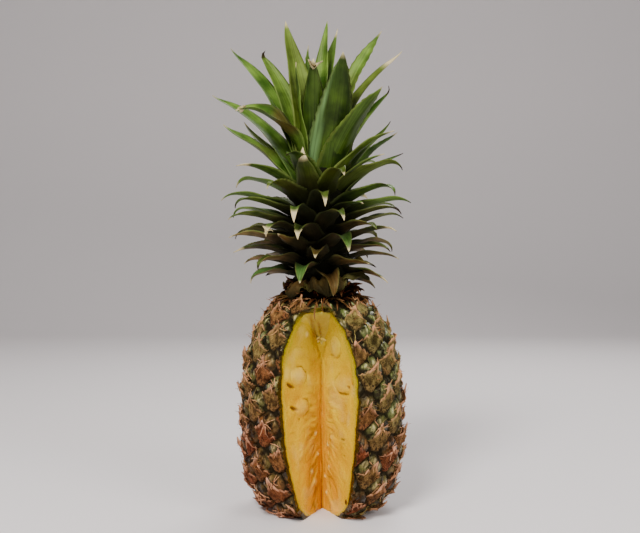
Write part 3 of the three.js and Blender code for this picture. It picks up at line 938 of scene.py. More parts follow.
def flesh_relief(side, distance, height, reach):
    """How far a cut face stands proud of its plane, and the values that colour it."""
    across = np.full(len(distance), 40.0 * side)
    place = np.stack([distance, height, across], -1)
    spread = 1 + distance * FAN_RATE
    fan = (height + distance * FAN_RATE * FAN_MIDDLE) / spread + 2.6 * noise(place, 13, 11)
    streak = noise(np.stack([distance / 10, fan / 2.1, across], -1), 1.0, 12)
    crease = (1 - np.abs(noise(np.stack([distance / 13, fan / 4.6, across], -1), 1.0, 18))) ** 7
    fine = noise(np.stack([distance / 4, fan / 0.8, across], -1), 1.0, 13)
    radial = smooth(4, 11, distance) * (1 - smooth(reach - 8, reach - 3, distance))
    calm = radial * (0.2 + 0.8 * smooth(105, 70, height)) * (1 - 0.6 * smooth(14, 27, distance))
    lobes = noise(np.stack([distance / 12, fan / 9, across], -1), 1.0, 14)
    lift = calm * (0.45 * streak + 0.25 * fine - 0.7 * crease) + 0.9 * lobes * smooth(3, 10, distance)
    cords = noise(np.stack([distance / 1.4, height / 22, across], -1), 1.0, 15)
    core_width = 5.5 + 3.5 * smooth(115, 70, height)
    core = np.exp(-((distance / core_width) ** 2)) * (0.15 + 0.85 * smooth(100, 72, height))
    lift += np.exp(-((distance / 8) ** 2)) * (0.8 * cords + 0.4 * noise(place, 2.5, 19))
    drift = noise(place, 11, 27) + 0.5 * noise(place, 5, 28)
    pale = 0.22 * smooth(0.1, 0.9, drift) * smooth(6, 16, distance)
    # Darker in the fibres' valleys and creases: partly their own deeper gold, partly painted shade.
    shade = 0.3 * smooth(0.1, 0.7, -streak) * calm + 0.55 * smooth(0.35, 0.9, crease) * calm
    lift, shade, pale = with_seed_hollows(side, place, drift, lift, shade, pale)
    pit = seed_slits(side, place)
    # Raised, pale tufts by the core, also standing in as painted highlights of juice.
    tufts_and_glints = pale_tufts_and_glints(side, place)
    lift = (lift - 1.6 * pit + 0.9 * tufts_and_glints) * smooth(0, 1.5, distance) * smooth(0, 5, reach - distance)
    rim = 0.12 + 0.7 * (smooth(70, 95, height) if side > 0 else smooth(105, 122, height))
    values = {
        "streak": streak * calm + 0.7 * lobes,
        "core": np.clip(core * (0.75 + 0.5 * cords), 0, 1),
        "low": 0.7 * smooth(90, 10, height) * (1 - 0.5 * smooth(20, 40, distance)),
        "high": 0.7 * smooth(90, 142, height),
        "shade": np.clip(shade, 0, 1),
        "rim": rim * smooth(4.5, 0.2, reach - distance + 0.9 * noise(place, 4, 17)),
        "pit": pit,
        "pale": np.clip(pale + 0.7 * tufts_and_glints, 0, 1),
    }
    return lift, values


def with_seed_hollows(side, place, drift, lift, shade, pale):
    """A cut face's relief, darkening and paleness with its seed hollows: smooth bulges in sunken rings, dark
    with ochre and painted shading.
    """
    distance, height, _ = place.T
    for where, middle, level, half, tall, plainest, plain in SEED_HOLLOWS:
        if where != side:
            continue
        tilt = math.atan(FAN_RATE * (level - FAN_MIDDLE) * 0.6)
        e, f = turned(distance - middle, height - level, tilt)
        off = np.hypot(e / half, f / tall) + 0.12 * noise(place, 4.5, 16)
        bearing = np.arctan2(f, -e)
        calm_here = 1 - smooth(0.85, 1.3, off)
        lift = lift * (1 - 0.6 * plain * calm_here) + plain * 1.5 * np.clip(1 - off * off, 0, 1)
        partial = smooth(0.1, 0.85, np.cos(bearing - math.radians(plainest)))
        ring = np.exp(-(((off - 1.03) / 0.075) ** 2)) * (0.12 + 0.88 * partial) * plain
        lift = lift - 1.3 * ring
        # The sunken ring is darker: partly the flesh's own ochre line, partly painted shade.
        shade = np.maximum(shade * (1 - 0.7 * calm_here * plain), 0.75 * ring)
        pale = np.maximum(pale, 0.42 * plain * np.clip(1.15 - off, 0, 1) * (1 + 0.5 * drift))
    return lift, shade, pale


def seed_slits(side, place):
    """How far each point of a cut face lies in a brown slit that the knife opened, from 0 to 1."""
    distance, height, _ = place.T
    pit = np.zeros(len(place))
    for where, middle, level, half, tall, slope, deep in SEED_SLITS:
        if where == side:
            e, f = turned(distance - middle, height - level, math.radians(slope))
            slit = np.hypot(e / half, (f - SLIT_BEND * e * e) / tall) + 0.15 * noise(place, 1.8, 26)
            pit = np.maximum(pit, (1 - smooth(0.6, 1.4, slit)) * deep)
    return pit


def pale_tufts_and_glints(side, place):
    """How far each point of a cut face lies in a pale tuft of fibres by the core, which is also a painted
    highlight, from 0 to 1.
    """
    distance, height, _ = place.T
    tufts_and_glints = np.zeros(len(place))
    for where, middle, level, half in PALE_TUFTS_AND_GLINTS:
        if where == side:
            off = np.hypot(distance - middle, height - level) / half + 0.5 * noise(place, 2.2, 25)
            tufts_and_glints = np.maximum(tufts_and_glints, np.exp(-(off**2)))
    return tufts_and_glints


def tongue_width(height):
    """Half the width, along the cut faces, of the facet that fills their corner."""
    share = np.clip((height - TONGUE_FOOT) / (TONGUE_TOP - TONGUE_FOOT), 0, 1)
    return TONGUE_WIDTH * share * (height < TONGUE_END)


def knife_seams(points):
    """How strongly each point lies in the two dark seams that the knife left under the crown."""
    x, _, z = points.T
    seams = np.zeros(len(points))
    for (low_x, low_z), (high_x, high_z), width in KNIFE_SEAMS:
        level = (z - low_z) / (high_z - low_z)
        middle = low_x + (high_x - low_x) * np.clip(level, 0, 1)
        off = (x - middle + 0.4 * noise(points, 3.0, 29)) / width
        seam = np.exp(-(off**2)) * smooth(-0.15, 0.2, level) * smooth(1.2, 0.8, level)
        seams = np.maximum(seams, seam)
    return seams


def rounded_corner(side, off, height, half_width):
    """How far the corner of a face and the slope under the crown is filled, at points that many mm off it."""
    angle = side_angle(side, height)
    face = np.stack([-side * np.cos(angle), -np.sin(angle), 0 * angle], -1)
    slope = np.array([0, -math.sin(WEDGE_SLOPE), -math.cos(WEDGE_SLOPE)])
    size = CORNER_FILL * np.exp(-off / CORNER_REACH)
    size = size * np.clip(half_width / 4, 0, 1) * smooth(150, 144, height)
    return (face + slope) * size[:, None]


def cut_face(side, inner, outer, closed, half_width, columns):
    """One cut face, row by row from its inner line to the rind, and the values that colour it."""
    share = np.linspace(0, 1, columns)[:, None]
    flat = inner[:, None] * (1 - share) + outer[:, None] * share
    distance = np.hypot(flat[..., 0], flat[..., 1] + WEDGE_APEX)
    from_corner = (distance - distance[:, :1]).ravel()
    distance = distance.ravel()
    reach = np.repeat(np.hypot(outer[:, 0], outer[:, 1] + WEDGE_APEX), columns)
    level = np.repeat(inner[:, 2], columns)
    lift, values = flesh_relief(side, distance, level, reach)
    # The relief fades into the slope over the faces, and is left out where the cut has closed.
    blend = np.repeat(np.where(closed, 0.0, 1.0), columns)
    blend = blend * smooth(0, 2.0, from_corner + np.where(level < WEDGE_INNER_TOP - 2, 2.0, 0.0))
    angle = np.repeat(side_angle(side, inner[:, 2]), columns)
    out = np.stack([-side * np.cos(angle), -np.sin(angle), np.zeros(len(angle))], -1)
    moved = flat.reshape(-1, 3) + (lift * blend)[:, None] * out
    moved += rounded_corner(side, from_corner, level, np.repeat(half_width, columns))
    tongue = tongue_width(moved[:, 2])
    floor = -(WEDGE_APEX + tongue * np.cos(angle))
    edge = np.exp(-(((distance - tongue) / 1.1) ** 2)) * smooth(1.0, 3.5, tongue)
    moved[:, 1] = np.where(tongue > 0, np.minimum(moved[:, 1], floor + 0.4 * edge), moved[:, 1])
    seams = knife_seams(moved) * smooth(0.5, 3, reach - distance)
    moved[:, 1] += 1.6 * seams * blend
    # Painted shade in the knife's seams, and a darker line along the edge of the facet.
    values["shade"] = np.maximum(values["shade"], np.maximum(0.5 * edge, 0.75 * seams))
    values["core"] = values["core"] * smooth(0.0, 2.0, distance - tongue + 2.0 * (tongue <= 0))
    return moved, values


def add_slope(parts, height, slope_y, half_widths):
    """Adds the slope over the two cut faces, torn and seamed where the knife left it under the crown."""
    rows, columns = len(height), 24
    share = np.linspace(-1, 1, columns)
    half_width = np.where(share > 0, half_widths[1][:, None], half_widths[-1][:, None])
    across, back, up = half_width * share, np.repeat(slope_y, columns), np.repeat(height, columns)
    slope = np.stack([across.ravel(), back, up], -1)
    torn = 0.9 * noise(slope * (1, 0.5, 0.5), 2.4, 21) + 0.5 * noise(slope, 6, 22)
    inside = ((1 - share**2)[None, :] * np.minimum(half_width / 3, 1)).ravel()
    x, z = slope[:, 0], slope[:, 2]
    grooves = knife_seams(slope)
    groove_depth = 2.2 * np.minimum(np.repeat(half_width.max(1), columns) / 3, 1)
    slope[:, 1] += (torn * 0.8) * inside + groove_depth * grooves
    from_corner = (half_width * (1 - np.abs(share))).ravel()
    for side in (1, -1):
        here = np.tile(side * share > 0, rows)
        slope[here] += rounded_corner(side, from_corner[here], z[here], half_width.ravel()[here])
    tongue = -(WEDGE_APEX + tongue_width(z) * math.cos(side_angle(1, WEDGE_INNER_TOP)))
    slope[:, 1] = np.where(tongue_width(z) > 0, np.minimum(slope[:, 1], tongue), slope[:, 1])
    blot = np.exp(-(((x + 1) / 4.4) ** 2)) * smooth(132, 128, z) * smooth(-0.2, 0.5, torn + 0.3)
    colours = {
        "streak": torn * 0.7,
        "high": 1.0,
        # Painted shade: the slope a little darker, and the knife's grooves in it much darker.
        "shade": np.clip(0.12 * inside + 0.8 * grooves, 0, 1),
        "pale": 0.16 + 0.6 * blot,
        "rim": 0.9 * smooth(146, 151, z),
    }
    parts.add(slope, grid_faces(rows, columns, flip=True), **colours)


def add_base(parts, loop):
    """Adds the fruit's sliced base inside a loop of vertices: rings that shrink to the core, pale there."""
    middle, rings, core_radius = np.array([0, 2.0, 0.0]), 9, 10
    edge, outer = np.concatenate(parts.points)[loop], list(loop)
    for step in range(1, rings):
        ring = middle + (edge - middle) * (1 - step / rings)
        off = np.hypot(ring[:, 0], ring[:, 1])
        ring[:, 2] = 0.25 + 0.25 * noise(ring, 2.0, 23)
        colours = {
            # Darker at the ring round the core, the flesh's own ochre, and a little darker all over.
            "shade": 0.5 * np.exp(-(((off - core_radius) / 1.6) ** 2)) + 0.2,
            "pale": 0.5 * (1 - smooth(core_radius - 2, core_radius + 0.5, off)),
            "streak": noise(ring, 3.0, 24),
        }
        inner = [parts.count + i for i in range(len(loop))]
        parts.add(ring, [], **colours)
        parts.faces.extend(ring_faces(outer, inner))
        outer = inner
    parts.add([middle + (0, 0, 0.3)], [], pale=0.4)
    parts.faces.extend([(a, b, parts.count - 1) for a, b in zip(outer, outer[1:] + outer[:1])])


def make_flesh(settings):
    """The yellow fruit as one closed body: its two cut faces, the slope over them, its back and its ends."""
    height = np.linspace(0, FRUIT_HEIGHT, 236)
    radius = fruit_radius(height) - RIND_THICKNESS + FLESH_BITE
    edges = {side: cut_azimuth(side, radius, height) for side in (1, -1)}
    closed = (edges[1] < CUT_CLOSED) | (edges[-1] < CUT_CLOSED)
    edges = {side: np.where(closed, 0.0, edge) for side, edge in edges.items()}
    rows, back_columns, face_columns = len(height), 40, 100
    slope = WEDGE_APEX + np.maximum(height - WEDGE_INNER_TOP, 0) / math.tan(WEDGE_SLOPE)
    parts = Patchwork(*FLESH_VALUES)
    back_azimuth = round_the_fruit(edges[1], edges[-1], closed, back_columns)
    back = heading(back_azimuth, 0.0) * radius[:, None, None]
    back[..., 2] = height[:, None]
    parts.add(back, grid_faces(rows, back_columns), skin=1.0)
    half_widths = {}
    for side in (1, -1):
        corner = heading(side * edges[side], 0.0) * radius[:, None]
        half_width = (slope - WEDGE_APEX) * np.tan(side_angle(side, height))
        half_width = np.where(closed, 0.0, np.minimum(half_width, np.abs(corner[:, 0])))
        half_widths[side] = half_width
        inner = np.stack([side * half_width, -np.where(closed, radius, slope), height], -1)
        outer = np.stack([corner[:, 0], corner[:, 1], height], -1)
        face, values = cut_face(side, inner, outer, closed, half_width, face_columns)
        parts.add(face, grid_faces(rows, face_columns, flip=side == 1), **values)
    add_slope(parts, height, -np.where(closed, radius, slope), half_widths)
    bottom = list(range(back_columns))
    right = [rows * back_columns + i for i in range(face_columns)]
    left = [i + rows * face_columns for i in right]
    add_base(parts, bottom + left[::-1][1:] + right[1:-1])
    top = [(rows - 1) * back_columns + i for i in bottom]
    parts.add([(0, 2.0, height[-1])], [], skin=1.0)
    parts.faces.extend([(a, b, parts.count - 1) for a, b in zip(top, top[1:])])
    for x, y, z, azimuth, length, width in TORN_SHREDS:
        bent = {"bend": 0.4, "roll": 0.5, "twist": 0.8, "curl": 0.9, "curl_from": 0.5}
        shred = new_blade(math.radians(azimuth), (x, y, z), length, width, 20, -70, **bent)
        shred.update(trough=-0.4, thickness=1.5, taper=4.0, wave=0.3)
        blade_patch(parts, shred, 10, 6, lambda s: {"pale": 0.3 + 0.4 * smooth(0.4, 1, s), "high": 0.3})
    return parts.build("cut_flesh", flesh_material(settings), merge=WELD, smooth_angle=SHARP_EDGE)


# ---- Leaves and bracts ---------------------------------------------------------------------------


# How a blade bends and is cut where nothing else is said: angles in radians, the share of its length from
# which its tip curls, how soon it tapers, its marginal spines in mm, and the waves and folds of its face.
BLADE_DEFAULTS = {
    "bend": 0.0,
    "roll": 0.0,
    "twist": 0.0,
    "curl": 0.0,
    "curl_from": 0.85,
    "taper": 2.1,
    "spines": 0.0,
    "withered": 0.0,
    "wave": 0.0,
    "pleat": 0.0,
    "phase": 0.0,
    "flange": 0.0,
}


def new_blade(azimuth, root, length, width, rise, fall, **rest):
    """One blade's measures. Its first and last elevation are in degrees, and its other angles in radians."""
    sizes = {"azimuth": azimuth, "root": np.array(root, float), "length": length, "width": width}
    return {**BLADE_DEFAULTS, **sizes, "rise": math.radians(rise), "fall": math.radians(fall), **rest}


def blade_spine(blade, rows):
    """The middle line of a blade, and the ways across it and up from it at each row."""
    share = np.linspace(0, 1, rows + 1)
    middle = (share[1:] + share[:-1]) / 2

    def elevation(where):
        past = np.maximum(where - blade["curl_from"], 0) / (1 - blade["curl_from"])
        return blade["rise"] + (blade["fall"] - blade["rise"]) * where**1.3 + blade["curl"] * past**1.5

    steps = heading(blade["azimuth"] + blade["bend"] * middle, elevation(middle)) * np.diff(share)[:, None]
    at = np.vstack([[0, 0, 0], np.cumsum(steps, 0)]) * blade["length"] + blade["root"]
    azimuth = blade["azimuth"] + blade["bend"] * share
    along = heading(azimuth, elevation(share))
    up = heading(azimuth, elevation(share) + math.pi / 2)
    up = turned_about(up, along, blade["roll"] + blade["twist"] * share)
    return share, at, np.cross(along, up), up


def blade_patch(parts, blade, rows, columns, values):
    """
    Adds one blade to a patchwork: a thin trough that leaves its root at one elevation, bends to another and
    tapers to a point. Its upper and lower faces share their two margins.
    """
    share, at, across, up = blade_spine(blade, rows)
    half = blade["width"] / 2 * (0.75 + 0.25 * np.minimum(1, share / 0.2))
    half = half * np.clip(1 - share ** blade["taper"], 0, 1) ** 0.85
    half = half * (1 - 0.3 * blade["withered"] * smooth(blade["curl_from"], 1, share))
    t = np.linspace(-1, 1, columns + 1)
    spine = np.where(np.arange(rows + 1) % 2 == 0, blade["spines"], 0.0) * (share > 0.08) * (share < 0.93)
    off = half[:, None] * t + (spine[:, None] * np.sign(t)) * (np.abs(t) > 0.999)
    wave = blade["wave"] * np.sin(share * 17 + blade["phase"])[:, None] * t
    wave = wave + blade["pleat"] * np.cos(t * 11 + blade["phase"])
    lift = half[:, None] * (blade["trough"] * np.abs(t) ** 1.5 + wave)
    base = at[:, None] + across[:, None] * off[..., None] + up[:, None] * lift[..., None]
    thickness = blade["thickness"] * (0.35 + 0.65 * (1 - t**2)) * (1 - 0.6 * share[:, None]) / 2
    thickness[:, [0, -1]] = 0
    upper = base + up[:, None] * thickness[..., None]
    lower = base - up[:, None] * thickness[..., None]
    shared = {
        "along": np.repeat(share * blade["length"] / 1000, columns + 1),
        "across": (half[:, None] * t / 1000).ravel(),
        "edge": np.tile(0.4 * smooth(0.86, 1, np.abs(t)), rows + 1),
        "bloom": blade["flange"] * smooth(0, 0.16, t[None, :] - 0.12 - 0.75 * share[:, None]).ravel(),
    }
    # Painted shade: close to the stem, where hardly any light comes in between the leaves, they are darkened
    # towards black; the darkening reaches less far out in the lower crown and fades out towards the top.
    out = np.hypot(base[..., 0] - CROWN_SHIFT, base[..., 1]).ravel()
    level = base[..., 2].ravel()
    light_from = 42 + 20 * smooth(176, 196, level)
    shared["deep"] = (1 - smooth(22, light_from, out)) * (1 - smooth(224, 262, level))
    for key, held in values(share).items():
        shared[key] = np.repeat(np.broadcast_to(held, rows + 1), columns + 1)
    first, second = parts.count, parts.count + upper[..., 0].size
    parts.add(upper, grid_faces(rows + 1, columns + 1, flip=True), under=0.0, **shared)
    parts.add(lower, grid_faces(rows + 1, columns + 1), under=1.0, **shared)
    root = [first + i for i in range(columns + 1)] + [second + i for i in range(columns - 1, 0, -1)]
    parts.faces.append(tuple(root))


def rule_at(share):
    """The blade rule's row at a share of the way up the spiral."""
    rule = np.array(BLADE_RULE)
    return [np.interp(share, rule[:, 0], rule[:, column]) for column in range(1, 6)]


def crown_blades():
    """Every blade of the crown, as the CAD lays them."""
    blades, draw = [], draws_from(SPIRAL_SEED)
    for i in range(SPIRAL_BLADES):
        share = i / (SPIRAL_BLADES - 1)
        height, length, width, rise, fall = rule_at(share)
        azimuth = SPIRAL_PHASE + i * GOLDEN_ANGLE
        around = [2 * next(draw) - 1 for _ in range(6)]
        root = heading(azimuth, 0.0) * (3 + 5 * (1 - share)) + (CROWN_SHIFT, 0, height)
        sizes = (length * (1 + 0.1 * around[0]), width * (1 + 0.1 * around[1]))
        bow = (rise + 5 * around[2], fall + (10 - 4 * share) * around[3])
        turns = {"bend": math.radians(14 * around[4]), "roll": math.radians(10 * around[5])}
        blades.append(new_blade(azimuth, root, *sizes, *bow, **turns))
    for azimuth, height, length, width, rise, fall, roll in HEART_BLADES:
        azimuth = math.radians(azimuth)
        root = heading(azimuth, 0.0) * 4 + (CROWN_SHIFT, 0, height)
        blades.append(new_blade(azimuth, root, length, width, rise, fall, roll=math.radians(roll)))
    return blades


def add_frayed_tip(parts, blade, size, random):
    """Adds the pale, dry curls, about that many mm long, into which a blade's tip has split."""
    _, at, _, _ = blade_spine(blade, LEAF_ROWS)
    for side in (-1.4, -0.3, 1.2):
        draw = random.random(5)
        shred = new_blade(
            blade["azimuth"] + side + draw[0],
            at[-3] - 0.5 * (at[-3] - at[-6]) * draw[1],
            size * (0.8 + 0.6 * draw[2]),
            size * (0.45 + 0.4 * draw[3]),
            50 - 80 * draw[4],
            -40 + 120 * draw[1],
            bend=1.2 * (draw[0] - 0.5),
            roll=1.5 * (draw[3] - 0.5),
            twist=2.5 * (draw[2] - 0.5),
            trough=0.5,
            thickness=0.7,
            curl=math.radians(160 * (draw[4] - 0.4)),
            curl_from=0.4,
        )
        blade_patch(parts, shred, 10, 4, lambda s: {"dry": 1.0, "burn": 0.12, "level": 1.0})


def aged_leaf(held, level, dry_share, heart, shaded):
    """How a leaf's colours run along it, as a function of the share of its length from the root."""

    def values(share):
        shown = {**held, "level": np.clip(level + 0.25 * share, 0, 1)}
        shown["dry"] = smooth(0.98 - dry_share, 1.02 - dry_share, share)
        if heart:
            shown["brown"] = held["brown"] * (0.85 * smooth(0.49, 0.57, share) * smooth(0.74, 0.67, share))
        # Painted shade on the low front leaves, near black but for their tips.
        if shaded:
            shown["deep"] = 0.9 * smooth(0.92, 0.65, share)
        return shown

    return values


def add_collar(parts):
    """Adds the broad, crumpled brown leaves that fold down over the neck."""
    turns = {"roll": math.radians(8), "curl": math.radians(-50)}
    crumpled = {"trough": -0.25, "thickness": 1.2, "taper": 5.0, "pleat": 0.15, "wave": 0.2, "curl_from": 0.6}
    for azimuth, radius, height, *sizes, brown in COLLAR_LEAVES:
        azimuth = math.radians(azimuth)
        root = heading(azimuth, 0.0) * radius + (CROWN_SHIFT / 2, 0, height)
        leaf = new_blade(azimuth, root, *sizes, **turns, **crumpled)

        # Painted shade: each leaf is darkened with the crown's shade tone, more towards its hanging tip.
        def values(share, brown=brown):
            return {"brown": brown, "tint": 0.5, "deep": 0.3 + 0.6 * smooth(0.5, 0.95, share)}

        blade_patch(parts, leaf, LEAF_ROWS, 24, values)


def make_crown(settings):
    """The crown: a short stem wrapped in blades, each a finer copy of its CAD blade."""
    random = np.random.default_rng(12)
    parts = Patchwork(*LEAF_VALUES)
    for index, blade in enumerate(crown_blades()):
        heart = index >= SPIRAL_BLADES
        tint, burn, dried, curl, wave, phase, spiny = random.random(7)
        root_height = blade["root"][2]
        level = np.clip((root_height - 172) / 75, 0, 1)
        # Leaves that the table of front blades leaves out age at random.
        dry_share = 0.02 + 0.05 * dried + 0.06 * (dried > 0.8)
        wild = ((30 if heart else -95) * curl, 0.8, dry_share, 0.3 * float(tint < 0.25))
        tip_curl, curl_from, dry_share, brown = FRONT_BLADES.get(index, wild)
        blade.update(
            trough=0.42 + 0.2 * brown,
            thickness=1.5,
            curl_from=curl_from,
            curl=math.radians(tip_curl),
            wave=0.05 + 0.08 * wave + 0.1 * brown,
            pleat=0.015 + 0.04 * brown,
            phase=6.3 * phase,
            spines=0.7 if spiny < 0.3 else 0.0,
            withered=dried,
            flange=float(index == FLANGED_BLADE),
        )
        burnt = float(index in BURNT_BLADES or (burn > 0.62 and index not in FRONT_BLADES))
        # Light that shines through the leaves at the back is painted on as brighter undersides, and the low
        # ones at the front are painted in shade.
        from_front = abs((blade["azimuth"] + math.pi) % (2 * math.pi) - math.pi)
        glow = float(smooth(0.7, 1.9, from_front))
        shaded = math.cos(blade["azimuth"]) > 0.75 and not heart and 178 < root_height < 216
        held = {"glow": glow, "tint": tint, "burn": burnt, "brown": brown}
        blade_patch(parts, blade, LEAF_ROWS, 10, aged_leaf(held, level, dry_share, heart, shaded))
        if index in FRAYED_BLADES:
            add_frayed_tip(parts, blade, FRAYED_BLADES[index], random)
    add_collar(parts)
    sides, levels = 24, len(STEM_PROFILE)
    start = parts.count
    # The stem is painted near black all over, as painted shade deep in the crown.
    parts.add(revolved(STEM_PROFILE, sides), grid_faces(levels, sides + 1), under=1.0, tint=0.2, deep=1.0)
    for row in (0, levels - 1):
        parts.faces.append(tuple(start + row * (sides + 1) + i for i in range(sides)))
    return parts.build("crown_leaves", leaf_material(settings), merge=WELD)


def dried_curl(azimuth, radius, height, draw, sizes):
    """One dried bract as a blade: its root's place, and how long, wide, raised and curled it is."""
    long, wide, rise, fall = sizes
    return new_blade(
        azimuth,
        heading(azimuth, 0.0) * radius + (0, 0, height),
        long * (0.7 + 0.7 * draw[0]),
        wide * (0.6 + 0.9 * draw[1]),
        rise + 40 * (draw[2] - 0.5),
        fall + 70 * (draw[3] - 0.5),
        bend=math.radians(110 * (draw[4] - 0.5)),
        roll=math.radians(70 * (draw[5] - 0.5)),
        twist=math.radians(160 * (draw[6] - 0.5)),
        trough=0.35 + 0.5 * draw[7],
        thickness=0.6,
        curl=math.radians(200 * (draw[8] - 0.5)),
        curl_from=0.5,
    )


def make_neck():
    """The dried bracts between fruit and crown: dark curls that stand up, and a fringe over the shoulder."""
    random = np.random.default_rng(8)
    parts = Patchwork(*DRIED_VALUES)
    curls, fringe = 52, 84
    for i in range(curls):
        draw, share = random.random(9), i / curls
        curl = dried_curl(i * GOLDEN_ANGLE, 22 - 5 * share, 157 + 9 * share, draw, (12, 5, 50, -5))
        values = {"tip": -0.35 + 0.25 * draw[1], "fresh": 0.0}
        blade_patch(parts, curl, 12, 4, lambda s, v=values: {**v, "margin": 0.5 * smooth(0.75, 1, s)})
    for i in range(fringe):
        draw = random.random(9)
        azimuth = i * GOLDEN_ANGLE
        front = max(math.cos(azimuth), 0) ** 6
        curl = dried_curl(azimuth, 21 + 5 * draw[4], 158 + draw[5], draw, (15 + 5 * front, 2.6, 10, -62))
        values = {"tip": -0.2 + 0.5 * draw[0], "fresh": 0.25 * draw[3]}
        blade_patch(parts, curl, 12, 3, lambda s, v=values: {**v, "margin": 0.7 * smooth(0.6, 1, s)})
    sides, bore, top = 36, 14.3, 166
    profile = [(bore, NECK_BOTTOM), (24, NECK_BOTTOM), (22, 160), (19, 163.5), (18, top), (bore, top)]
    sleeve = revolved(profile + profile[:1], sides)
    # The sleeve under the bracts is near black: the dried bracts' dark brown, deepened as painted shade among
    # them.
    parts.add(sleeve, grid_faces(len(sleeve), sides + 1), tip=-0.8)
    paper = dried_material("dried_neck_bract", "0c0301", "5e2a14", "a06c42", 1.4)
    return parts.build("dried_neck_bracts", paper, merge=WELD)


def bract_outline(index, t, draw):
    """How far down and up its eye a bract reaches at each place across it, and its jags, teeth and point."""
    jag = noise(np.stack([t * 9, np.full(len(t), index * 3.1), t * 0], -1), 1.0, 31)
    tooth = noise(np.stack([t * 26, np.full(len(t), index * 5.3), t * 0], -1), 1.0, 32)
    point = np.exp(-(((t - 0.16 * (EYE_DRAWS[index, 0] - 0.5)) / 0.1) ** 2))
    notch = 0.3 * draw[3] * np.exp(-(((t - 1.2 * draw[4] + 0.6) / 0.12) ** 2))
    reach = 0.93 + 0.1 * draw[0]
    top = bract_edge(t * reach, np.full(len(t), index)) + 0.05
    top = top + 0.08 * jag + 0.07 * tooth + (0.1 + 0.26 * draw[1]) * point - notch
    bottom = -0.98 + 0.62 * np.abs(t) ** 1.6
    return reach, bottom, np.maximum(top, bottom + 0.12), jag, tooth, point


def add_bract(parts, index, draw, columns=23, rows=13):
    """Adds one eye's bract as two faces joined round their rim, unless most of it would lie in the cut."""
    azimuth, along, size = EYES[index]
    t = np.linspace(-1, 1, columns)
    v = 1 - (1 - np.linspace(0, 1, rows)[:, None]) ** 1.7
    reach, bottom, top, jag, tooth, point = bract_outline(index, t, draw)
    up = bottom + (top - bottom) * v
    off = np.broadcast_to(t * reach, up.shape) * (0.94 + 0.06 * v)
    rise, aside = turned(up, off, EYE_LEAN[index])
    foot = np.clip(along + rise * size, 0.6, SKIN_LENGTH - 0.6)
    height = height_along(foot)
    turn = azimuth + aside * size / fruit_radius(height)
    # The bract lies on the skin, bridges its hollows and curls off it towards the torn edge.
    lift, _ = rind_relief(turn.ravel(), foot.ravel())
    lift = lift.reshape(up.shape)
    lift = np.minimum.accumulate(lift[::-1], axis=0)[::-1] * 0.35 + 0.65 * lift
    curl = smooth(0.6, 1.0, v) * (0.7 + 1.6 * draw[2] + 1.3 * jag + 1.0 * tooth + 2.2 * point)
    stand = -0.6 + 0.95 * smooth(0, 0.25, v) * (1 - t**6) + curl
    outer = skin_point(turn, height, lift + stand)
    inner = skin_point(turn, height, lift + stand - (0.55 - 0.25 * smooth(0.7, 1, v)))
    if in_wedge(outer.reshape(-1, 3), 0.5).mean() > 0.6:
        return
    outer, inner = kept_off_cut(outer), kept_off_cut(inner)
    outer[..., 2] = np.maximum(outer[..., 2], FLOOR_GAP)
    inner[..., 2] = np.maximum(inner[..., 2], 2 * FLOOR_GAP)
    shared = {
        "across": (t * reach * size * (1 - 0.25 * v) / 1000).ravel(),
        "along": ((up + index % 7) * size / 1000).ravel(),
        "tip": (index * 0.37 % 1.0 * 0.2 - 0.25 + 0.3 * np.broadcast_to(v, up.shape)).ravel(),
        "fresh": 0.85 * float(np.clip(EYE_GREEN[index], 0, 1)),
    }
    near = 0.6 + 0.4 * np.exp(-((t / 0.42) ** 2))
    ragged = np.clip(near * (0.6 + 0.9 * jag + 0.5 * tooth) + 0.4 * point, 0.0, 1)
    margin = (smooth(0.76, 0.95, v) * ragged).ravel()
    first, second = parts.count, parts.count + rows * columns
    parts.add(outer, grid_faces(rows, columns), margin=margin, **shared)
    parts.add(inner, grid_faces(rows, columns, flip=True), margin=0.5 * margin, **shared)
    grid = np.arange(rows * columns).reshape(rows, columns)
    rim = np.concatenate([grid[0], grid[1:, -1], grid[-1, -2::-1], grid[-2::-1, 0]]).tolist()
    for a, b in zip(rim, rim[1:]):
        parts.faces.append((first + b, first + a, second + a, second + b))


def make_bracts(settings):
    """The bract that wraps the lower half of each eye: a ribbed scale whose torn edge curls off the skin."""
    random = np.random.default_rng(19)
    parts = Patchwork(*DRIED_VALUES)
    for index in range(len(EYES)):
        add_bract(parts, index, random.random(8))
    # One torn flap stands off the skin low down beside the cut.
    flap = new_blade(math.radians(-50), (20.0, -38.5, 10.0), 9.0, 8.0, 35, 80, bend=-0.8, roll=0.4)
    flap.update(trough=0.6, thickness=0.9, curl=1.4, curl_from=0.4)
    blade_patch(parts, flap, 12, 6, lambda s: {"tip": -0.2, "margin": 0.6 * smooth(0.8, 1, s)})
    paper = dried_material("dried_pineapple_bract", "300e04", settings.bract_hex, settings.torn_hex, 1.5)
    return parts.build("ribbed_bracts", paper)


def add_thread(parts, line, thick, sides=4, **values):
    """Adds a closed tube that tapers along a line of points."""
    aim = np.gradient(line, axis=0)
    aim /= np.linalg.norm(aim, axis=1, keepdims=True)
    side = np.cross(aim, (0.3, 0.2, 0.93))
    side /= np.linalg.norm(side, axis=1, keepdims=True)
    other = np.cross(aim, side)
    turn = np.arange(sides) * 2 * math.pi / sides
    ring = side[:, None] * np.cos(turn)[:, None] + other[:, None] * np.sin(turn)[:, None]
    reach = thick * (1 - 0.65 * np.linspace(0, 1, len(line)))
    rings = [[parts.count + row * sides + i for i in range(sides)] for row in range(len(line))]
    parts.add(line[:, None] + ring * reach[:, None, None], [], **values)
    for lower, upper in zip(rings, rings[1:]):
        parts.faces.extend(ring_faces(lower, upper))
    parts.faces += [tuple(rings[0][::-1]), tuple(rings[-1])]


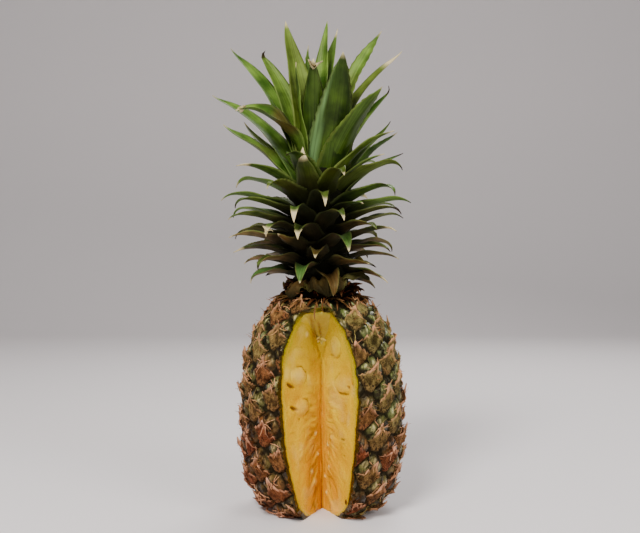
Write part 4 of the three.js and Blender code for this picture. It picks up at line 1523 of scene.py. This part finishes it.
def add_star(parts, random, index, share):
    """Adds the fibres that spread over the skin from the point of one eye's bract."""
    azimuth, along, size = EYES[index]
    lean = 0.16 * (EYE_DRAWS[index, 0] - 0.5)
    level = bract_edge(np.array([lean]), np.array([index]))[0]
    fresh = float(np.clip(0.2 + EYE_GREEN[index], 0, 1))
    for bearing in STAR_BEARINGS:
        draw = random.random(6)
        way = math.radians(bearing) + 0.9 * (draw[0] - 0.5) + 1.8 * (draw[1] - 0.5) * share
        step = (3.0 + 6.5 * draw[2] ** 1.3) / (len(share) - 1)
        off = (lean + 0.2 * (draw[3] - 0.5)) * size + np.cumsum(np.cos(way)) * step
        foot = along + (level - 0.06) * size + np.cumsum(np.sin(way)) * step
        foot = np.clip(foot, 3, SKIN_LENGTH - 1)
        height = height_along(foot)
        turn = azimuth + off / fruit_radius(height)
        lift, _ = rind_relief(turn, foot)
        stand = 0.35 + 2.2 * draw[4] * share**1.6
        line = skin_point(turn, height, lift.max() * 0.35 + lift * 0.65 + stand)
        if in_wedge(line, 0.8).any() or line[:, 2].min() < 1:
            continue
        colours = {"tip": 0.5 * draw[5], "margin": 0.75 * float(draw[3] > 0.35), "fresh": fresh}
        add_thread(parts, line, 0.22 + 0.22 * draw[5], **colours)


def add_free_thread(parts, random, eye, share):
    """Adds one fibre that stands off the skin near an eye and droops, unless it would start in the cut."""
    azimuth, along, size = eye
    start = azimuth + 1.3 * (random.random() - 0.5) * size / BELLY_RADIUS
    foot = np.clip(along + (random.random() - 0.5) * size, 4, SKIN_LENGTH - 3)
    height = float(height_along(foot))
    lift, _ = rind_relief(np.array([start]), np.array([foot]))
    root = skin_point(start, height, lift[0] - 0.4)
    if in_wedge(root, 2.0) or (height < 12 and random.random() < 0.5):
        return
    long = 3.0 + 7.5 * random.random() ** 1.4
    flat, steep = (random.random() - 0.5) * 2.6, 0.4 + 1.0 * random.random()
    line = [root]
    for knot in share[1:]:
        way = heading(start + flat * knot, steep * (0.9 - 1.1 * knot * random.random()))
        line.append(line[-1] + way * long / (len(share) - 1) * (0.55 if knot < 0.3 else 1.0))
    line = np.array(line)
    line[:, 2] = np.maximum(line[:, 2], 0.4)
    add_thread(parts, line, 0.25, tip=0.1 + 0.4 * random.random())


def make_threads(settings):
    """Dry fibres that spread like a star from each bract's point, free threads, and one loose strand."""
    random = np.random.default_rng(44)
    parts = Patchwork(*DRIED_VALUES)
    share = np.linspace(0, 1, 9)
    for index, eye in enumerate(EYES):
        add_star(parts, random, index, share)
        add_free_thread(parts, random, eye, share)
        add_free_thread(parts, random, eye, share)
    add_thread(parts, np.array(LOOSE_STRAND), 1.0, sides=6, tip=1.0, margin=0.95)
    fibre = dried_material("dry_plant_thread", "4a2412", "a8683c", settings.torn_hex, 2.0)
    return parts.build("dry_threads", fibre)


# ---- Stage ---------------------------------------------------------------------------------------


def make_stage(settings):
    """A pale floor that curves up behind the fruit, soft lights and the camera, placed in metres."""
    front, bend, radius, wall, half_width = -3.0, 1.6, 0.8, 4.0, 4.0
    rows = [(front, 0.0), (bend, 0.0)]
    for turn in np.linspace(0.1, math.pi / 2, 16):
        rows.append((bend + radius * math.sin(turn), radius * (1 - math.cos(turn))))
    rows.append((bend + radius, wall))
    points = np.array([[(x, y, z) for x in (-half_width, half_width)] for y, z in rows]) * 1000
    material, tree = new_material("matt_painted_board")
    shader = {"Base Color": linear(settings.floor_hex), "Roughness": 0.75}
    add_node(tree, "OutputMaterial", {"Surface": add_node(tree, "BsdfPrincipled", shader)})
    parts = Patchwork()
    parts.add(points, grid_faces(len(rows), 2))
    floor = parts.build("stage_floor", material)
    # Each lamp's name, place, diameter, power in watts and colour. All of them point at the crown's foot.
    target = Vector((0, 0, 0.17))
    lamps = [
        ("key_light", (-0.45, -1.1, 1.2), 0.5, 31.0, (1.0, 0.97, 0.94)),
        ("fill_light", (0.9, -0.9, 0.7), 0.7, 9.0, (1.0, 0.98, 0.97)),
        ("back_light", (0.35, 1.0, 1.2), 0.8, 12.0, (1.0, 0.98, 0.97)),
    ]
    for name, place, size, power, colour in lamps:
        data = bpy.data.lights.new(name, "AREA")
        data.shape, data.size, data.energy, data.color = "DISK", size, power * settings.light_share, colour
        lamp = bpy.data.objects.new(name, data)
        lamp.location = place
        lamp.rotation_mode = "QUATERNION"
        lamp.rotation_quaternion = (target - Vector(place)).to_track_quat("-Z", "Y")
        bpy.context.scene.collection.objects.link(lamp)
    world = bpy.data.worlds.new("studio_air")
    world.use_nodes = True
    air = world.node_tree.nodes["Background"]
    air.inputs["Color"].default_value = linear("f4f1f2")
    air.inputs["Strength"].default_value = settings.air_strength
    bpy.context.scene.world = world
    # The camera looks level along +Y, at about half the height of fruit and crown.
    data = bpy.data.cameras.new("front_camera")
    data.lens, data.sensor_width = settings.lens, 36.0
    data.clip_start, data.clip_end = 0.05, 50.0
    camera = bpy.data.objects.new("front_camera", data)
    camera.location = (-0.0015, -0.657, 0.183)
    camera.rotation_euler = (math.radians(90), 0, 0)
    bpy.context.scene.collection.objects.link(camera)
    bpy.context.scene.camera = camera


# ---- The add-on ----------------------------------------------------------------------------------


class PineappleFruitSettings(bpy.types.PropertyGroup):
    """Colours of the fruit."""

    sepal_hex: bpy.props.StringProperty(
        name="Sepal colour",
        description="sRGB hex colour of the lighter patches of the live, waxy sepals",
        default="5c6a34",
    )
    dry_hex: bpy.props.StringProperty(
        name="Dry skin colour",
        description="sRGB hex colour of the lighter patches of the skin that has browned",
        default="54361a",
    )
    bract_hex: bpy.props.StringProperty(
        name="Bract colour",
        description="sRGB hex colour of the ribs of the dried bracts",
        default="a45636",
    )
    torn_hex: bpy.props.StringProperty(
        name="Torn edge colour",
        description="sRGB hex colour of the bracts' thin, torn edges",
        default="e6a884",
    )
    flesh_hex: bpy.props.StringProperty(
        name="Flesh colour",
        description="sRGB hex colour of the ripe flesh",
        default="dcb30a",
    )
    core_hex: bpy.props.StringProperty(
        name="Core colour",
        description="sRGB hex colour of the strings of the core",
        default="d89004",
    )
    leaf_hex: bpy.props.StringProperty(
        name="Leaf colour",
        description="sRGB hex colour of the lighter patches on top of the upper leaves",
        default="6c8c34",
    )


class PineappleStageSettings(bpy.types.PropertyGroup):
    """The stage round the fruit."""

    floor_hex: bpy.props.StringProperty(
        name="Floor colour",
        description="sRGB hex colour of the floor and backdrop",
        default="e9e4e4",
    )
    light_share: bpy.props.FloatProperty(
        name="Light",
        description="Strength of the lamps as a share of their usual power",
        default=1.0,
        min=0.0,
        max=5.0,
    )
    air_strength: bpy.props.FloatProperty(
        name="Air light",
        description="Strength of the soft light from all round",
        default=0.34,
        min=0.0,
        max=3.0,
    )
    lens: bpy.props.FloatProperty(
        name="Lens",
        description="Focal length of the camera",
        default=48.5,
        min=10.0,
        max=200.0,
        unit="CAMERA",
    )


def settle(piece, node):
    """Lets a piece ride on the fruit and, if it has a node, replace that."""
    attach(piece, "root")
    if node:
        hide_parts(node)


class PINEAPPLE_OT_flesh(bpy.types.Operator):
    """Builds the yellow flesh with its two cut faces"""

    bl_idname = "pineapple.flesh"
    bl_label = "Flesh"

    def execute(self, context):
        settle(make_flesh(context.scene.pineapple_fruit), "flesh")
        return {"FINISHED"}


class PINEAPPLE_OT_rind(bpy.types.Operator):
    """Builds the rind, the torn edges of its bracts and its dry threads"""

    bl_idname = "pineapple.rind"
    bl_label = "Rind"

    def execute(self, context):
        settings = context.scene.pineapple_fruit
        settle(make_rind(settings), "rind")
        settle(make_bracts(settings), None)
        settle(make_threads(settings), None)
        return {"FINISHED"}


class PINEAPPLE_OT_neck(bpy.types.Operator):
    """Builds the dried bracts between the fruit and its crown"""

    bl_idname = "pineapple.neck"
    bl_label = "Neck bracts"

    def execute(self, context):
        settle(make_neck(), "neck_bracts")
        return {"FINISHED"}


class PINEAPPLE_OT_crown(bpy.types.Operator):
    """Builds the crown of leaves"""

    bl_idname = "pineapple.crown"
    bl_label = "Crown"

    def execute(self, context):
        settle(make_crown(context.scene.pineapple_fruit), "crown")
        return {"FINISHED"}


class PINEAPPLE_OT_stage(bpy.types.Operator):
    """Builds the floor, the lights and the camera"""

    bl_idname = "pineapple.stage"
    bl_label = "Stage"

    def execute(self, context):
        make_stage(context.scene.pineapple_stage)
        return {"FINISHED"}


STEPS = (
    PINEAPPLE_OT_stage,
    PINEAPPLE_OT_flesh,
    PINEAPPLE_OT_rind,
    PINEAPPLE_OT_neck,
    PINEAPPLE_OT_crown,
)


class PINEAPPLE_PT_panel(bpy.types.Panel):
    """The pineapple's settings and steps"""

    bl_idname = "PINEAPPLE_PT_panel"
    bl_label = "Pineapple"
    bl_space_type = "VIEW_3D"
    bl_region_type = "UI"
    bl_category = "Pineapple"

    def draw(self, context):
        layout = self.layout
        for group in (context.scene.pineapple_fruit, context.scene.pineapple_stage):
            for name in group.__annotations__:
                layout.prop(group, name)
        for step in STEPS:
            layout.operator(step.bl_idname)


CLASSES = (PineappleFruitSettings, PineappleStageSettings, *STEPS, PINEAPPLE_PT_panel)


def register():
    for each in CLASSES:
        bpy.utils.register_class(each)
    bpy.types.Scene.pineapple_fruit = bpy.props.PointerProperty(type=PineappleFruitSettings)
    bpy.types.Scene.pineapple_stage = bpy.props.PointerProperty(type=PineappleStageSettings)


def unregister():
    del bpy.types.Scene.pineapple_fruit
    del bpy.types.Scene.pineapple_stage
    for each in reversed(CLASSES):
        bpy.utils.unregister_class(each)


def main():
    """Registers the add-on and builds every piece."""
    register()
    bpy.ops.pineapple.stage()
    bpy.ops.pineapple.flesh()
    bpy.ops.pineapple.rind()
    bpy.ops.pineapple.neck()
    bpy.ops.pineapple.crown()


if __name__ == "__main__":
    main()
